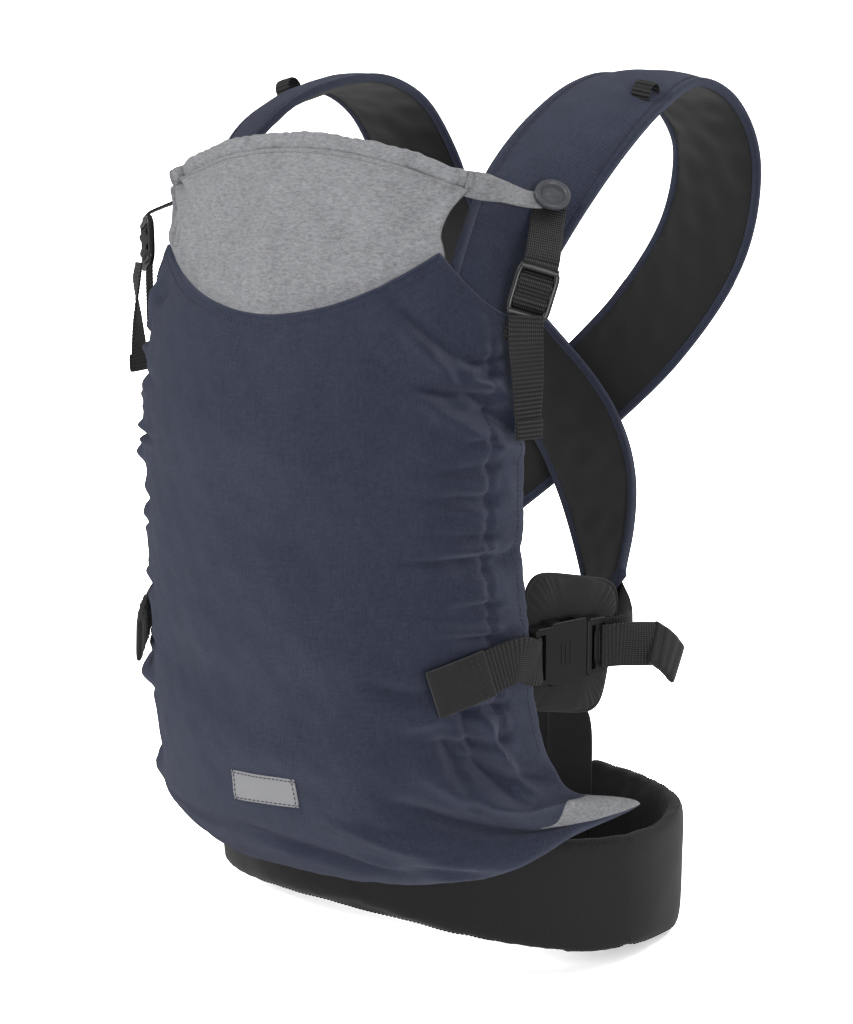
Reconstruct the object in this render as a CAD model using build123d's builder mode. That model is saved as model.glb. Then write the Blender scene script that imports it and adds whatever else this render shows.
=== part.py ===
"""Soft baby carrier: padded waist belt, front panel with hood, two padded shoulder straps that cross behind,
side-release buckles and strap adjusters. Millimetres, +Z up, the panel's outside faces -Y.
Each piece of the right side (+X) is made again for the left side with its X turned round."""

import os
from math import asin, cos, pi, radians, sin

from build123d import *

os.makedirs("parts", exist_ok=True)

# ---- Driving dimensions ------------------------------------------------------------------------------------
layer_gap = 0.2  # between two layers of one sewn sandwich
running_gap = 0.4  # between pieces that move past each other
front_reach = 260.0  # a cut from the front view goes at least this deep
skin = 1.5  # an outer cloth or a lining with its seam allowance

belt_half_width = 192.0
belt_half_depth = 108.0
belt_power = 2.6  # roundness of the belt's plan: 2 is an ellipse, more is squarer
belt_centre_y = 20.0
belt_height = 96.0
belt_foam = 11.0
belt_end_x = 66.0  # half of the opening between the belt's padded ends
belt_front_rise = 12.0  # how far the bottom edge slopes up towards the front
belt_rise_depth = 130.0

panel_power = 2.2
panel_padding_thickness = 5.0
hem_angle = 75.0  # the padding stops here and the elastic runs beyond it, to 90 degrees at the side edge
elastic_angle = 78.0
neck_half_width = 119.0
neck_corner_z = 497.0
neck_dip = 41.0
shoulder_seam_x = 156.0
shoulder_seam_z = 446.0

hood_thickness = 3.0
hood_fold_z = 501.0
hood_corner_x = 124.0
hood_corner_z = 547.0
hood_rise = 26.0
hem_height = 9.0
ear_corner_y = -129.0

strap_foam = 9.0
strap_edge = 3.0  # width of the binding that closes each edge

shoulder_webbing = 25.0
side_webbing_width = 30.0
waist_webbing_width = 40.0
webbing = 1.6  # thickness of all webbing
cap_thickness = 3.0  # the sewn cloth caps on the loose ends

button_radius = 12.0
button_thickness = 5.0

lumbar_half_width = 80.0
lumbar_height = 138.0
lumbar_bottom = 12.0
lumbar_thickness = 9.0

guard_length = 92.0
guard_height = 96.0
guard_thickness = 8.0
guard_offset = 15.0  # from the side buckle's middle plane inwards
guard_tilt = 12.0


sides = {"right": 1, "left": -1}


def save(part, name):
    """Labels a finished piece and writes it to its own file."""
    part.label = name
    export_step(part, f"parts/{name}.step")


# ---- Waist belt: cover, foam and lining around one squared oval --------------------------------------------
def squared_oval(half_width, half_depth, power, angle):
    """Point of the curve |x/a|^p + |y/b|^p = 1, measured from the front, -Y, towards +X."""
    s, c = sin(angle), cos(angle)
    x = half_width * abs(s) ** (2 / power) * (1 if s >= 0 else -1)
    y = -half_depth * abs(c) ** (2 / power) * (1 if c >= 0 else -1)
    return x, y


def belt_curve(inset, count=41):
    """Points of the belt's plan at an inset, from one padded end round the front to the other."""
    half_width = belt_half_width - inset
    end_angle = pi - asin((belt_end_x / half_width) ** (belt_power / 2))
    points = []
    for k in range(count):
        angle = end_angle * (2 * k / (count - 1) - 1)
        x, y = squared_oval(half_width, belt_half_depth - inset, belt_power, angle)
        points.append((x, y + belt_centre_y))
    return points


def belt_layer(name, outer_inset, inner_inset):
    """One layer of the belt, open at the back, with its bottom edge sloping up towards the front."""
    with BuildPart() as layer:
        with BuildSketch():
            with BuildLine():
                outer = belt_curve(outer_inset)
                inner = belt_curve(inner_inset)
                Spline(*outer)
                Line(outer[-1], inner[-1])
                Spline(*reversed(inner))
                Line(inner[0], outer[0])
            make_face()
        extrude(amount=belt_height)
        with BuildSketch(Plane.YZ):
            with BuildLine():
                front = belt_centre_y - belt_half_depth
                Polyline(
                    (front - 5, 0),
                    (front - 5, belt_front_rise),
                    (front, belt_front_rise),
                    (front + belt_rise_depth, 0),
                    close=True,
                )
            make_face()
        extrude(amount=belt_half_width, both=True, mode=Mode.SUBTRACT)
    save(layer.part, name)


foam_outside = skin + layer_gap
foam_inside = foam_outside + belt_foam
lining_inside = foam_inside + layer_gap + skin
belt_layer("belt_cover", 0, skin)
belt_layer("belt_foam", foam_outside, foam_inside)
belt_layer("belt_lining", foam_inside + layer_gap, lining_inside)

# The lumbar pad bridges the belt's ends on the wearer's side.
inner_half_width = belt_half_width - lining_inside
inner_half_depth = belt_half_depth - lining_inside
lumbar_share = (1 - (lumbar_half_width / inner_half_width) ** belt_power) ** (1 / belt_power)
lumbar_y = belt_centre_y + inner_half_depth * lumbar_share - lumbar_thickness - 0.5
with BuildPart() as lumbar_pad:
    with BuildSketch(Plane.XZ.offset(-lumbar_y)):
        with Locations((0, lumbar_bottom + lumbar_height / 2)):
            RectangleRounded(2 * lumbar_half_width, lumbar_height, 22)
    extrude(amount=-lumbar_thickness)
    fillet(lumbar_pad.edges().filter_by(Plane.XZ), 3)
save(lumbar_pad.part, "lumbar_pad")

# ---- Front panel: a pouch that bulges forward, lofted through level sections --------------------------------
# Each station is height, half width, the side edge's y and the middle's y.
pouch_stations = [
    (62, 60, -97, -126),
    (68, 95, -91, -150),
    (76, 125, -82, -168),
    (88, 150, -72, -182),
    (101, 168, -60, -191),
    (112, 188, -8, -196),
    (128, 182, -34, -200),
    (152, 172, -62, -203),
    (185, 160, -84, -206),
    (245, 151, -98, -208),
    (312, 150, -104, -208),
    (382, 153, -107, -204),
    (432, 151, -106, -195),
    (486, 146, -101, -180),
    (546, 139, -90, -164),
    (590, 132, -78, -150),
]
pouch_floor = 62.0  # the bottom stations turn under, so deeper layers lie higher there
pouch_turn = 112.0
elastic_stations = [s for s in pouch_stations if 180 < s[0] < 440]
shell_inside = skin
padding_outside = shell_inside + layer_gap
padding_inside = padding_outside + panel_padding_thickness
panel_lining_outside = padding_inside + layer_gap
panel_inside = panel_lining_outside + skin


def station_height(station, inset):
    """A deeper layer lies higher than the outer face where the pouch turns under."""
    return station[0] + inset * max(0.0, (pouch_turn - station[0]) / (pouch_turn - pouch_floor))


def pouch_curve(station, inset, start, end, count=13):
    """Points of one level section between two angles in degrees, 0 at the middle and 90 at the right edge."""
    _, half_width, edge_y, middle_y = station
    z = station_height(station, inset)
    points = []
    for k in range(count):
        angle = radians(start + (end - start) * k / (count - 1))
        x, y = squared_oval(half_width - inset, edge_y - middle_y - inset, panel_power, angle)
        points.append((x, y + edge_y, z))
    return points


def pouch_layer(stations, outer_inset, inner_inset, start=-90.0, end=90.0):
    """A curved sheet of the pouch, between two insets from its outer face."""
    with BuildPart() as sheet:
        for station in stations:
            outer = pouch_curve(station, outer_inset, start, end)
            inner = pouch_curve(station, inner_inset, end, start)
            with BuildSketch(Plane.XY.offset(station_height(station, outer_inset))):
                with BuildLine():
                    Spline(*[(x, y) for x, y, _ in outer])
                    Line(outer[-1][:2], inner[0][:2])
                    Spline(*[(x, y) for x, y, _ in inner])
                    Line(inner[-1][:2], outer[0][:2])
                make_face()
        loft(ruled=True)
    return sheet.part


def panel_top():
    """The panel's front outline: its top has a dipped neckline between two sloping shoulder seams."""
    wide = belt_half_width + 10
    with BuildPart() as outline:
        with BuildSketch(Plane.XZ.offset(-belt_centre_y)):
            with BuildLine():
                ThreePointArc(
                    (-neck_half_width, neck_corner_z),
                    (0, neck_corner_z - neck_dip),
                    (neck_half_width, neck_corner_z),
                )
                Polyline(
                    (neck_half_width, neck_corner_z),
                    (shoulder_seam_x, shoulder_seam_z),
                    (wide, shoulder_seam_z),
                    (wide, 0),
                    (-wide, 0),
                    (-wide, shoulder_seam_z),
                    (-shoulder_seam_x, shoulder_seam_z),
                    (-neck_half_width, neck_corner_z),
                )
            make_face()
        extrude(amount=front_reach)
    return outline.part


for name, outer, inner, reach in (
    ("panel_shell", 0, shell_inside, 90.0),
    ("panel_padding", padding_outside, padding_inside, hem_angle),
    ("panel_lining", panel_lining_outside, panel_inside, 90.0),
):
    with BuildPart() as panel:
        add(pouch_layer(pouch_stations, outer, inner, -reach, reach))
        add(panel_top(), mode=Mode.INTERSECT)
    save(panel.part, name)

# A wide elastic runs in each side hem, in the padding's layer, and gathers the edge.
with BuildPart() as side_elastics:
    add(pouch_layer(elastic_stations, padding_outside, padding_outside + 1.2, elastic_angle, 89))
    add(pouch_layer(elastic_stations, padding_outside, padding_outside + 1.2, -89, -elastic_angle))
save(side_elastics.part, "side_elastics")

# ---- Hood: a fixed base in the neckline and a flap that folds forward about a level line --------------------
with BuildPart() as hood_base:
    add(pouch_layer(pouch_stations, shell_inside, shell_inside + hood_thickness))
    with BuildSketch(Plane.XZ.offset(-belt_centre_y)):
        with BuildLine():
            ThreePointArc(
                (-neck_half_width, neck_corner_z + running_gap),
                (0, neck_corner_z - neck_dip + running_gap),
                (neck_half_width, neck_corner_z + running_gap),
            )
            Polyline(
                (neck_half_width, neck_corner_z + running_gap),
                (neck_half_width, hood_fold_z - running_gap),
                (-neck_half_width, hood_fold_z - running_gap),
                (-neck_half_width, neck_corner_z + running_gap),
            )
        make_face()
    extrude(amount=front_reach, mode=Mode.INTERSECT)
save(hood_base.part, "hood_base")


def hood_piece(name, outer_inset, inner_inset, bottom, top, rise):
    """Part of the hood's flap between a level bottom line and an arched top."""
    with BuildPart() as piece:
        add(pouch_layer(pouch_stations, outer_inset, inner_inset))
        with BuildSketch(Plane.XZ.offset(-belt_centre_y)):
            with BuildLine():
                Polyline(
                    (-hood_corner_x, top),
                    (-neck_half_width, bottom),
                    (neck_half_width, bottom),
                    (hood_corner_x, top),
                )
                ThreePointArc((hood_corner_x, top), (0, top + rise), (-hood_corner_x, top))
            make_face()
        extrude(amount=front_reach, mode=Mode.INTERSECT)
    save(piece.part, name)


flap_inside = shell_inside + hood_thickness
flap_top = hood_corner_z - hem_height
hood_piece("hood_flap", shell_inside, flap_inside, hood_fold_z, flap_top, hood_rise)

# The hem along the hood's top holds its draw elastic. It is thicker than the cloth below it.
with BuildPart() as hood_hem:
    add(pouch_layer(pouch_stations, 0, flap_inside + skin))
    with BuildSketch(Plane.XZ.offset(-belt_centre_y)):
        with BuildLine():
            low, high = flap_top + layer_gap, hood_corner_z
            ThreePointArc((-hood_corner_x, low), (0, low + hood_rise), (hood_corner_x, low))
            Line((hood_corner_x, low), (hood_corner_x, high))
            ThreePointArc((hood_corner_x, high), (0, high + hood_rise), (-hood_corner_x, high))
            Line((-hood_corner_x, high), (-hood_corner_x, low))
        make_face()
    extrude(amount=front_reach, mode=Mode.INTERSECT)
save(hood_hem.part, "hood_hem")

# ---- Straps and strips: rectangles carried along a hand-laid route ------------------------------------------


def route_planes(points, normals):
    """A plane across the route at each point: its x runs across the strip and its y points outwards."""
    path = [Vector(*p) for p in points]
    planes = []
    for k, here in enumerate(path):
        before = path[max(k - 1, 0)]
        after = path[min(k + 1, len(path) - 1)]
        along = (after - before).normalized()
        outward = Vector(*normals[k])
        across = outward.cross(along).normalized()
        planes.append(Plane(origin=here, x_dir=across, z_dir=along))
    return planes


def strip(planes, widths, low, high, across=None):
    """Lofts a band between two offsets along the normals. across limits it to one edge: (side, edge width)."""
    with BuildPart() as band:
        for plane, width in zip(planes, widths):
            with BuildSketch(plane):
                if across:
                    side, edge = across
                    with Locations((side * (width + edge) / 2, (low + high) / 2)):
                        Rectangle(edge, high - low)
                else:
                    with Locations((0, (low + high) / 2)):
                        Rectangle(width, high - low)
        loft(ruled=True)
    return band.part


def flip(points, side):
    """Carries points in mm over to a side: 1 keeps them on +X, -1 mirrors them in X."""
    return [(side * x, y, z) for x, y, z in points]


# The route runs from the panel's shoulder seam over the shoulder and behind the back to the other side.
strap_route = [
    (132, -116, 484),
    (130, -92, 505),
    (128, -54, 539),
    (129, -8, 573),
    (131, 42, 600),
    (134, 90, 612),
    (139, 140, 597),
    (137, 177, 556),
    (114, 194, 492),
    (64, 196, 424),
    (0, 194, 362),
    (-30, 184, 328),
    (-57, 159, 297),
    (-84, 120, 262),
    (-104, 80, 236),
]
strap_outward = [
    (0.87, -0.25, 0.41),
    (0.75, -0.4, 0.5),
    (0.55, -0.5, 0.67),
    (0.35, -0.4, 0.85),
    (0.2, -0.2, 0.96),
    (0.08, 0.15, 0.98),
    (0.1, 0.6, 0.8),
    (0.15, 0.87, 0.45),
    (0.05, 0.97, 0.2),
    (0, 1, 0.05),
    (0, 1, -0.05),
    (-0.05, 0.97, -0.2),
    (-0.2, 0.93, -0.3),
    (-0.4, 0.88, -0.25),
    (-0.5, 0.85, -0.2),
]
strap_widths = [56, 62, 68, 72, 74, 74, 74, 74, 74, 74, 74, 73, 70, 64, 54]
# Where the straps cross, the right one passes outside the left one.
crossing_share = [0, 0, 0, 0, 0, 0, 0, 0.2, 0.6, 1, 1, 1, 0.8, 0.4, 0]
half_foam = strap_foam / 2
strap_outside = half_foam + layer_gap + skin
crossing_step = strap_outside + 4.0
# The left strap stands a little wider and higher over the shoulder than the right one.
left_stance = [(0, 0, 0), (4, -3, 4), (8, -6, 12), (10, -5, 15), (7, -2, 8), (3, 0, 2)]

strap_planes = {}
for side_name, side in sides.items():
    shifted = [
        (x, y + side * crossing_step * share, z) for (x, y, z), share in zip(strap_route, crossing_share)
    ]
    if side_name == "left":
        for k, (dx, dy, dz) in enumerate(left_stance):
            x, y, z = shifted[k]
            shifted[k] = (x + dx, y + dy, z + dz)
    planes = route_planes(flip(shifted, side), flip(strap_outward, side))
    strap_planes[side_name] = planes
    inner_widths = [w - 2 * strap_edge for w in strap_widths]
    with BuildPart() as strap_foam_core:
        add(strip(planes, inner_widths, -half_foam, half_foam))
    save(strap_foam_core.part, f"strap_foam_{side_name}")
    with BuildPart() as strap_cover:
        add(strip(planes, inner_widths, half_foam + layer_gap, strap_outside))
    save(strap_cover.part, f"strap_cover_{side_name}")
    with BuildPart() as strap_lining:
        add(strip(planes, inner_widths, -strap_outside, -half_foam - layer_gap))
    save(strap_lining.part, f"strap_lining_{side_name}")
    with BuildPart() as strap_binding:
        bound_widths = [w + 2 * layer_gap for w in inner_widths]
        add(strip(planes, bound_widths, -strap_outside, strap_outside, (1, strap_edge)))
        add(strip(planes, bound_widths, -strap_outside, strap_outside, (-1, strap_edge)))
    save(strap_binding.part, f"strap_binding_{side_name}")

# A small loop of elastic stands on each strap, near the top of the shoulder.
loop_station = 4
loop_width = 14.0
loop_height = 9.0
loop_along = 20.0
loop_across = 22.0
with BuildPart() as strap_loops:
    for side_name, side in sides.items():
        seat = strap_planes[side_name][loop_station]
        foot = seat.origin + seat.y_dir * (strap_outside + running_gap) - seat.x_dir * side * loop_across
        upright = Plane(foot, x_dir=seat.z_dir, z_dir=seat.x_dir)
        with BuildSketch(upright.offset(-loop_width / 2)):
            with Locations((0, -loop_height / 2)):
                RectangleRounded(loop_along, loop_height, 3)
                RectangleRounded(loop_along - 2 * skin, loop_height - 2 * skin, 2, mode=Mode.SUBTRACT)
        extrude(amount=loop_width)
save(strap_loops.part, "strap_loops")

# ---- Shoulder adjusters: button, webbing, ladder lock, its anchor and the loose tail -------------------------
lock_centre = (164, -118, 474)
lock_up = (0.2, 0.2, 0.93)
lock_face = (0.6, -0.72, 0.25)
lock_drawn_up = {"right": 0.0, "left": 24.0}  # the left adjuster is pulled tighter than the right one
lock_width = shoulder_webbing + 6
lock_height = 38.0
lock_thickness = 6.0
tail_clearance = 4.0
lock_rail = 3.4
lock_bar = 4.0
lift_tail_length = 78.0
button_station = 2
button_across = 13.0
button_along = -14.0


def lock_plane(side_name):
    """Middle plane of a ladder lock: y runs up the webbing and z points outwards."""
    side = sides[side_name]
    up = Vector(side * lock_up[0], *lock_up[1:]).normalized()
    face = Vector(side * lock_face[0], *lock_face[1:])
    across = up.cross(face).normalized()
    centre = Vector(side * lock_centre[0], *lock_centre[1:]) + up * lock_drawn_up[side_name]
    return Plane(origin=centre, x_dir=across, z_dir=across.cross(up))


def button_plane(side_name):
    """Face of the strap under the button, near the strap's outer edge."""
    side = sides[side_name]
    seat = strap_planes[side_name][button_station]
    # The strip's own x runs to the wearer's left on both straps, so the outer edge is on opposite sides.
    outer = -1 if (seat.x_dir.X > 0) != (side > 0) else 1
    origin = seat.origin + seat.x_dir * outer * button_across + seat.z_dir * button_along
    return Plane(origin + seat.y_dir * (strap_outside + running_gap), x_dir=seat.x_dir, z_dir=seat.y_dir)


with BuildPart() as snap_studs:
    for side_name in sides:
        base = button_plane(side_name)
        with BuildSketch(base.offset(webbing + running_gap)):
            Circle(7)
        extrude(amount=1.2)
save(snap_studs.part, "snap_studs")

with BuildPart() as lift_anchors:
    for side_name in sides:
        frame = lock_plane(side_name)
        anchor_length = 14 + lock_drawn_up[side_name]
        with BuildSketch(frame.offset(-webbing / 2)):
            with Locations((0, -lock_height / 2 - 1 - anchor_length / 2)):
                Rectangle(shoulder_webbing - 2, anchor_length)
        extrude(amount=webbing)
save(lift_anchors.part, "lift_anchors")

for side_name, side in sides.items():
    frame = lock_plane(side_name)
    inner_width = lock_width - 2 * lock_rail
    with BuildPart() as ladder_lock:
        with BuildSketch(frame.offset(-lock_thickness / 2)):
            RectangleRounded(lock_width, lock_height, 4)
        extrude(amount=lock_thickness)
        fillet(ladder_lock.faces().sort_by(Axis(frame.origin, frame.z_dir))[-1].edges(), 1.2)
        slot = (lock_height - 4 * lock_bar) / 3
        with BuildSketch(frame.offset(-lock_thickness / 2)):
            with Locations(*[(0, k * (slot + lock_bar)) for k in (-1, 0, 1)]):
                Rectangle(inner_width, slot)
        extrude(amount=lock_thickness, mode=Mode.SUBTRACT)
    save(ladder_lock.part, f"ladder_lock_{side_name}")

    # The webbing over the lock's two middle bars, held in by the weave.
    with BuildPart() as lift_turn:
        with BuildSketch(frame.offset(lock_thickness / 2 + layer_gap)):
            Rectangle(inner_width - 1, slot + 2 * lock_bar)
        extrude(amount=webbing)
        fillet(lift_turn.edges().filter_by(Axis(frame.origin, frame.x_dir)), 0.6)
    save(lift_turn.part, f"lift_turn_{side_name}")

    # The sewn end of the webbing lies flat under the button, then runs down to the lock.
    button = button_plane(side_name)
    bottom = frame.origin + frame.y_dir * (lock_height / 2 + 3.0)
    seat = button.origin + button.z_dir * (webbing / 2 + 0.3)
    down = bottom - seat
    down = (down - button.z_dir * down.dot(button.z_dir)).normalized()
    middle = (seat + down * 14 + bottom) / 2 + button.z_dir * 1.5
    blend_normal = (button.z_dir + frame.z_dir) / 2
    with BuildPart() as lift_webbing:
        route = [seat - down * 9, seat + down * 14, middle, bottom]
        outward = [button.z_dir, button.z_dir, blend_normal, frame.z_dir]
        planes = route_planes([tuple(p) for p in route], [tuple(n) for n in outward])
        add(strip(planes, [shoulder_webbing] * 4, -webbing / 2, webbing / 2))
    save(lift_webbing.part, f"lift_webbing_{side_name}")

    # The loose tail turns as it hangs from the lock's lower edge, its end rolled and sewn.
    hang = frame.origin - frame.y_dir * (lock_height / 2 - lock_bar) + frame.z_dir * (lock_thickness / 2 + tail_clearance)
    turned = (0.97 * side, -0.26, 0)
    tail_route = [hang, hang + Vector(side * 1, -2, -14), hang + Vector(side * 2, -1, -40)]
    tail_route += [hang + Vector(side * 2, 0, -lift_tail_length + 10), hang + Vector(side * 2, 0, -lift_tail_length)]
    half_turned = (0.85 * side, -0.5, 0)
    tail_out = [tuple(frame.z_dir), tuple(frame.z_dir), half_turned, turned, turned]
    tail_planes = route_planes([tuple(p) for p in tail_route], tail_out)
    with BuildPart() as lift_tail:
        add(strip(tail_planes[:4], [shoulder_webbing] * 4, -webbing / 2, webbing / 2))
        add(strip(tail_planes[3:], [shoulder_webbing] * 2, -webbing, webbing))
    save(lift_tail.part, f"lift_tail_{side_name}")

# ---- Hood ears with their press-stud caps --------------------------------------------------------------------
for side_name, side in sides.items():
    base = button_plane(side_name)
    ear_height = webbing + running_gap + 1.2 + running_gap
    with BuildPart() as snap_cap:
        with BuildSketch(base.offset(ear_height + 1.6)):
            Circle(button_radius)
        extrude(amount=button_thickness)
        cap_top = snap_cap.faces().sort_by(Axis(base.origin, base.z_dir))[-1]
        fillet(cap_top.edges(), 1.5)
        with BuildSketch(base.offset(ear_height + 1.6 + button_thickness)):
            Circle(button_radius - 3)
        extrude(amount=-1.0, mode=Mode.SUBTRACT)
    save(snap_cap.part, f"snap_cap_{side_name}")

    ear_end = base.origin + base.z_dir * (ear_height + 0.8)
    ear_start = Vector(side * (hood_corner_x + 2), ear_corner_y, hood_corner_z - 9)
    toward = ear_end - ear_start
    toward = (toward - base.z_dir * toward.dot(base.z_dir)).normalized()
    flat_start = ear_end - toward * (button_radius + 2)
    ear_middle = (ear_start + flat_start) / 2 + Vector(side * 4, -4, 0)
    start_face = Vector(side * 0.7, -0.7, 0.1)
    ear_route = [ear_start, ear_middle, flat_start, ear_end + toward * 7]
    ear_out = [start_face, (start_face + base.z_dir) / 2, base.z_dir, base.z_dir]
    ear_planes = route_planes([tuple(p) for p in ear_route], [tuple(n) for n in ear_out])
    with BuildPart() as hood_ear:
        add(strip(ear_planes, [26, 22, 18, 14], -0.6, 0.6))
    save(hood_ear.part, f"hood_ear_{side_name}")

# ---- Label and belt button -----------------------------------------------------------------------------------
label_width = 54.0
label_height = 21.0
label_centre = (8, 142)
with BuildPart() as care_label:
    label_stations = [s for s in pouch_stations if 100 < s[0] < 190]
    add(pouch_layer(label_stations, -0.8, -0.2, -40, 40))
    with BuildSketch(Plane.XZ.offset(-belt_centre_y)):
        with Locations(label_centre):
            Rectangle(label_width, label_height)
    extrude(amount=front_reach, mode=Mode.INTERSECT)
save(care_label.part, "care_label")

belt_button_z = 59.0
with BuildPart() as belt_button:
    with BuildSketch(Plane.XZ.offset(belt_half_depth - belt_centre_y + layer_gap)):
        with Locations((0, belt_button_z)):
            Circle(button_radius)
    extrude(amount=button_thickness)
    fillet(belt_button.faces().sort_by(Axis.Y)[0].edges(), 1.5)
    with BuildSketch(Plane.XZ.offset(belt_half_depth - belt_centre_y + layer_gap + button_thickness)):
        with Locations((0, belt_button_z)):
            Circle(button_radius - 3)
    extrude(amount=-1.0, mode=Mode.SUBTRACT)
save(belt_button.part, "belt_button")

# ---- Side-release buckles ------------------------------------------------------------------------------------
plug_reach = 27.0  # how far the plug's prongs go into the socket
socket_wall = 2.2
slot_width = 5.0


def buckle_sizes(width):
    """Body width, thickness, socket length and frame length for one webbing width."""
    return width + 14, width * 0.14 + 7, plug_reach + 7, slot_width + 9


def socket_body(base, width):
    """The half that the plug goes into. Its mouth is at the plane's origin and it runs along +x."""
    body, thick, depth, frame = buckle_sizes(width)
    with BuildPart() as socket:
        with BuildSketch(base.offset(-thick / 2)):
            with Locations((depth / 2, 0)):
                RectangleRounded(depth, body, 3)
            with Locations((depth + frame / 2 - 3, 0)):
                RectangleRounded(frame + 6, body - 4, 3)
        extrude(amount=thick)
        fillet(socket.faces().filter_by(Axis(base.origin, base.z_dir)).edges(), 1.6)
        with BuildSketch(base.offset(-thick / 2 + socket_wall)):
            with Locations(((depth - 3) / 2, 0)):
                Rectangle(depth - 3, body - 2 * socket_wall)
        extrude(amount=thick - 2 * socket_wall, mode=Mode.SUBTRACT)
        # Windows in both edges show the prongs, where fingers squeeze them.
        with BuildSketch(base.offset(-thick / 2 + socket_wall)):
            with Locations((16, 0)):
                Rectangle(15, body + 2)
        extrude(amount=thick - 2 * socket_wall, mode=Mode.SUBTRACT)
        with BuildSketch(base.offset(-thick / 2)):
            with Locations((depth + frame - 3 - slot_width / 2 - 1, 0)):
                Rectangle(slot_width, width + 1)
        extrude(amount=thick, mode=Mode.SUBTRACT)
    return socket.part


def plug_body(base, width):
    """The pronged half: a frame with two webbing slots outside the mouth and a flat guide tongue inside."""
    body, thick, depth, frame = buckle_sizes(width)
    tongue = thick - 2 * socket_wall - 2 * running_gap
    with BuildPart() as plug:
        with BuildSketch(base.offset(-thick / 2)):
            with Locations((-frame / 2 - running_gap - 2, 0)):
                RectangleRounded(frame + 4, body - 4, 3)
        extrude(amount=thick)
        fillet(plug.faces().filter_by(Axis(base.origin, base.z_dir)).edges(), 1.6)
        with BuildSketch(base.offset(-thick / 2)):
            with Locations((-frame - 1, 0), (-frame / 2 + 1, 0)):
                Rectangle(slot_width - 1, width + 1)
        extrude(amount=thick, mode=Mode.SUBTRACT)
        with BuildSketch(base.offset(-tongue / 2)):
            with Locations((plug_reach / 2 - 2, 0)):
                RectangleRounded(plug_reach, width * 0.35, 2)
        extrude(amount=tongue)
    return plug.part


def prong_root(width):
    """Where a prong bends: beside the tongue, just inside the mouth."""
    body = buckle_sizes(width)[0]
    return 3.0, body / 2 - socket_wall - 5.0


def prong(base, width, edge):
    """One springy prong, hinged at its root, with a broad tip that stops flush with the socket's window."""
    body, thick, depth, frame = buckle_sizes(width)
    tongue = thick - 2 * socket_wall - 2 * running_gap
    root_x, root_y = prong_root(width)
    tip = body / 2 - socket_wall - running_gap
    with BuildPart() as latch:
        with BuildSketch(base.offset(-tongue / 2)):
            with Locations((root_x, edge * root_y)):
                Circle(2.2)
            with BuildLine():
                Polyline(
                    (root_x, edge * (root_y - 2.2)),
                    (20, edge * (tip - 4)),
                    (plug_reach, edge * (tip - 3.2)),
                    (plug_reach - 3, edge * (tip - 1)),
                    (17, edge * tip),
                    (10, edge * tip),
                    (root_x, edge * (root_y + 2.2)),
                    close=True,
                )
            make_face()
        extrude(amount=tongue)
    return latch.part


side_mouth = (157, -41, 228)
side_axis = (0.25, 0.97, 0)


def side_plane(side):
    """Middle plane of a side buckle: +x runs into the socket, towards the panel, and z points outwards."""
    into = Vector(-side * side_axis[0], -side_axis[1], 0).normalized()
    outward = Vector(side * side_axis[1], -side_axis[0], 0).normalized()
    return Plane(origin=(side * side_mouth[0], *side_mouth[1:]), x_dir=into, z_dir=outward)


def side_point(base, along, out, up=0.0):
    """A point of the buckle's plane: along its pull line, outwards, and up."""
    return tuple(base.origin + base.x_dir * along + base.z_dir * out + Vector(0, 0, up))


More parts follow.
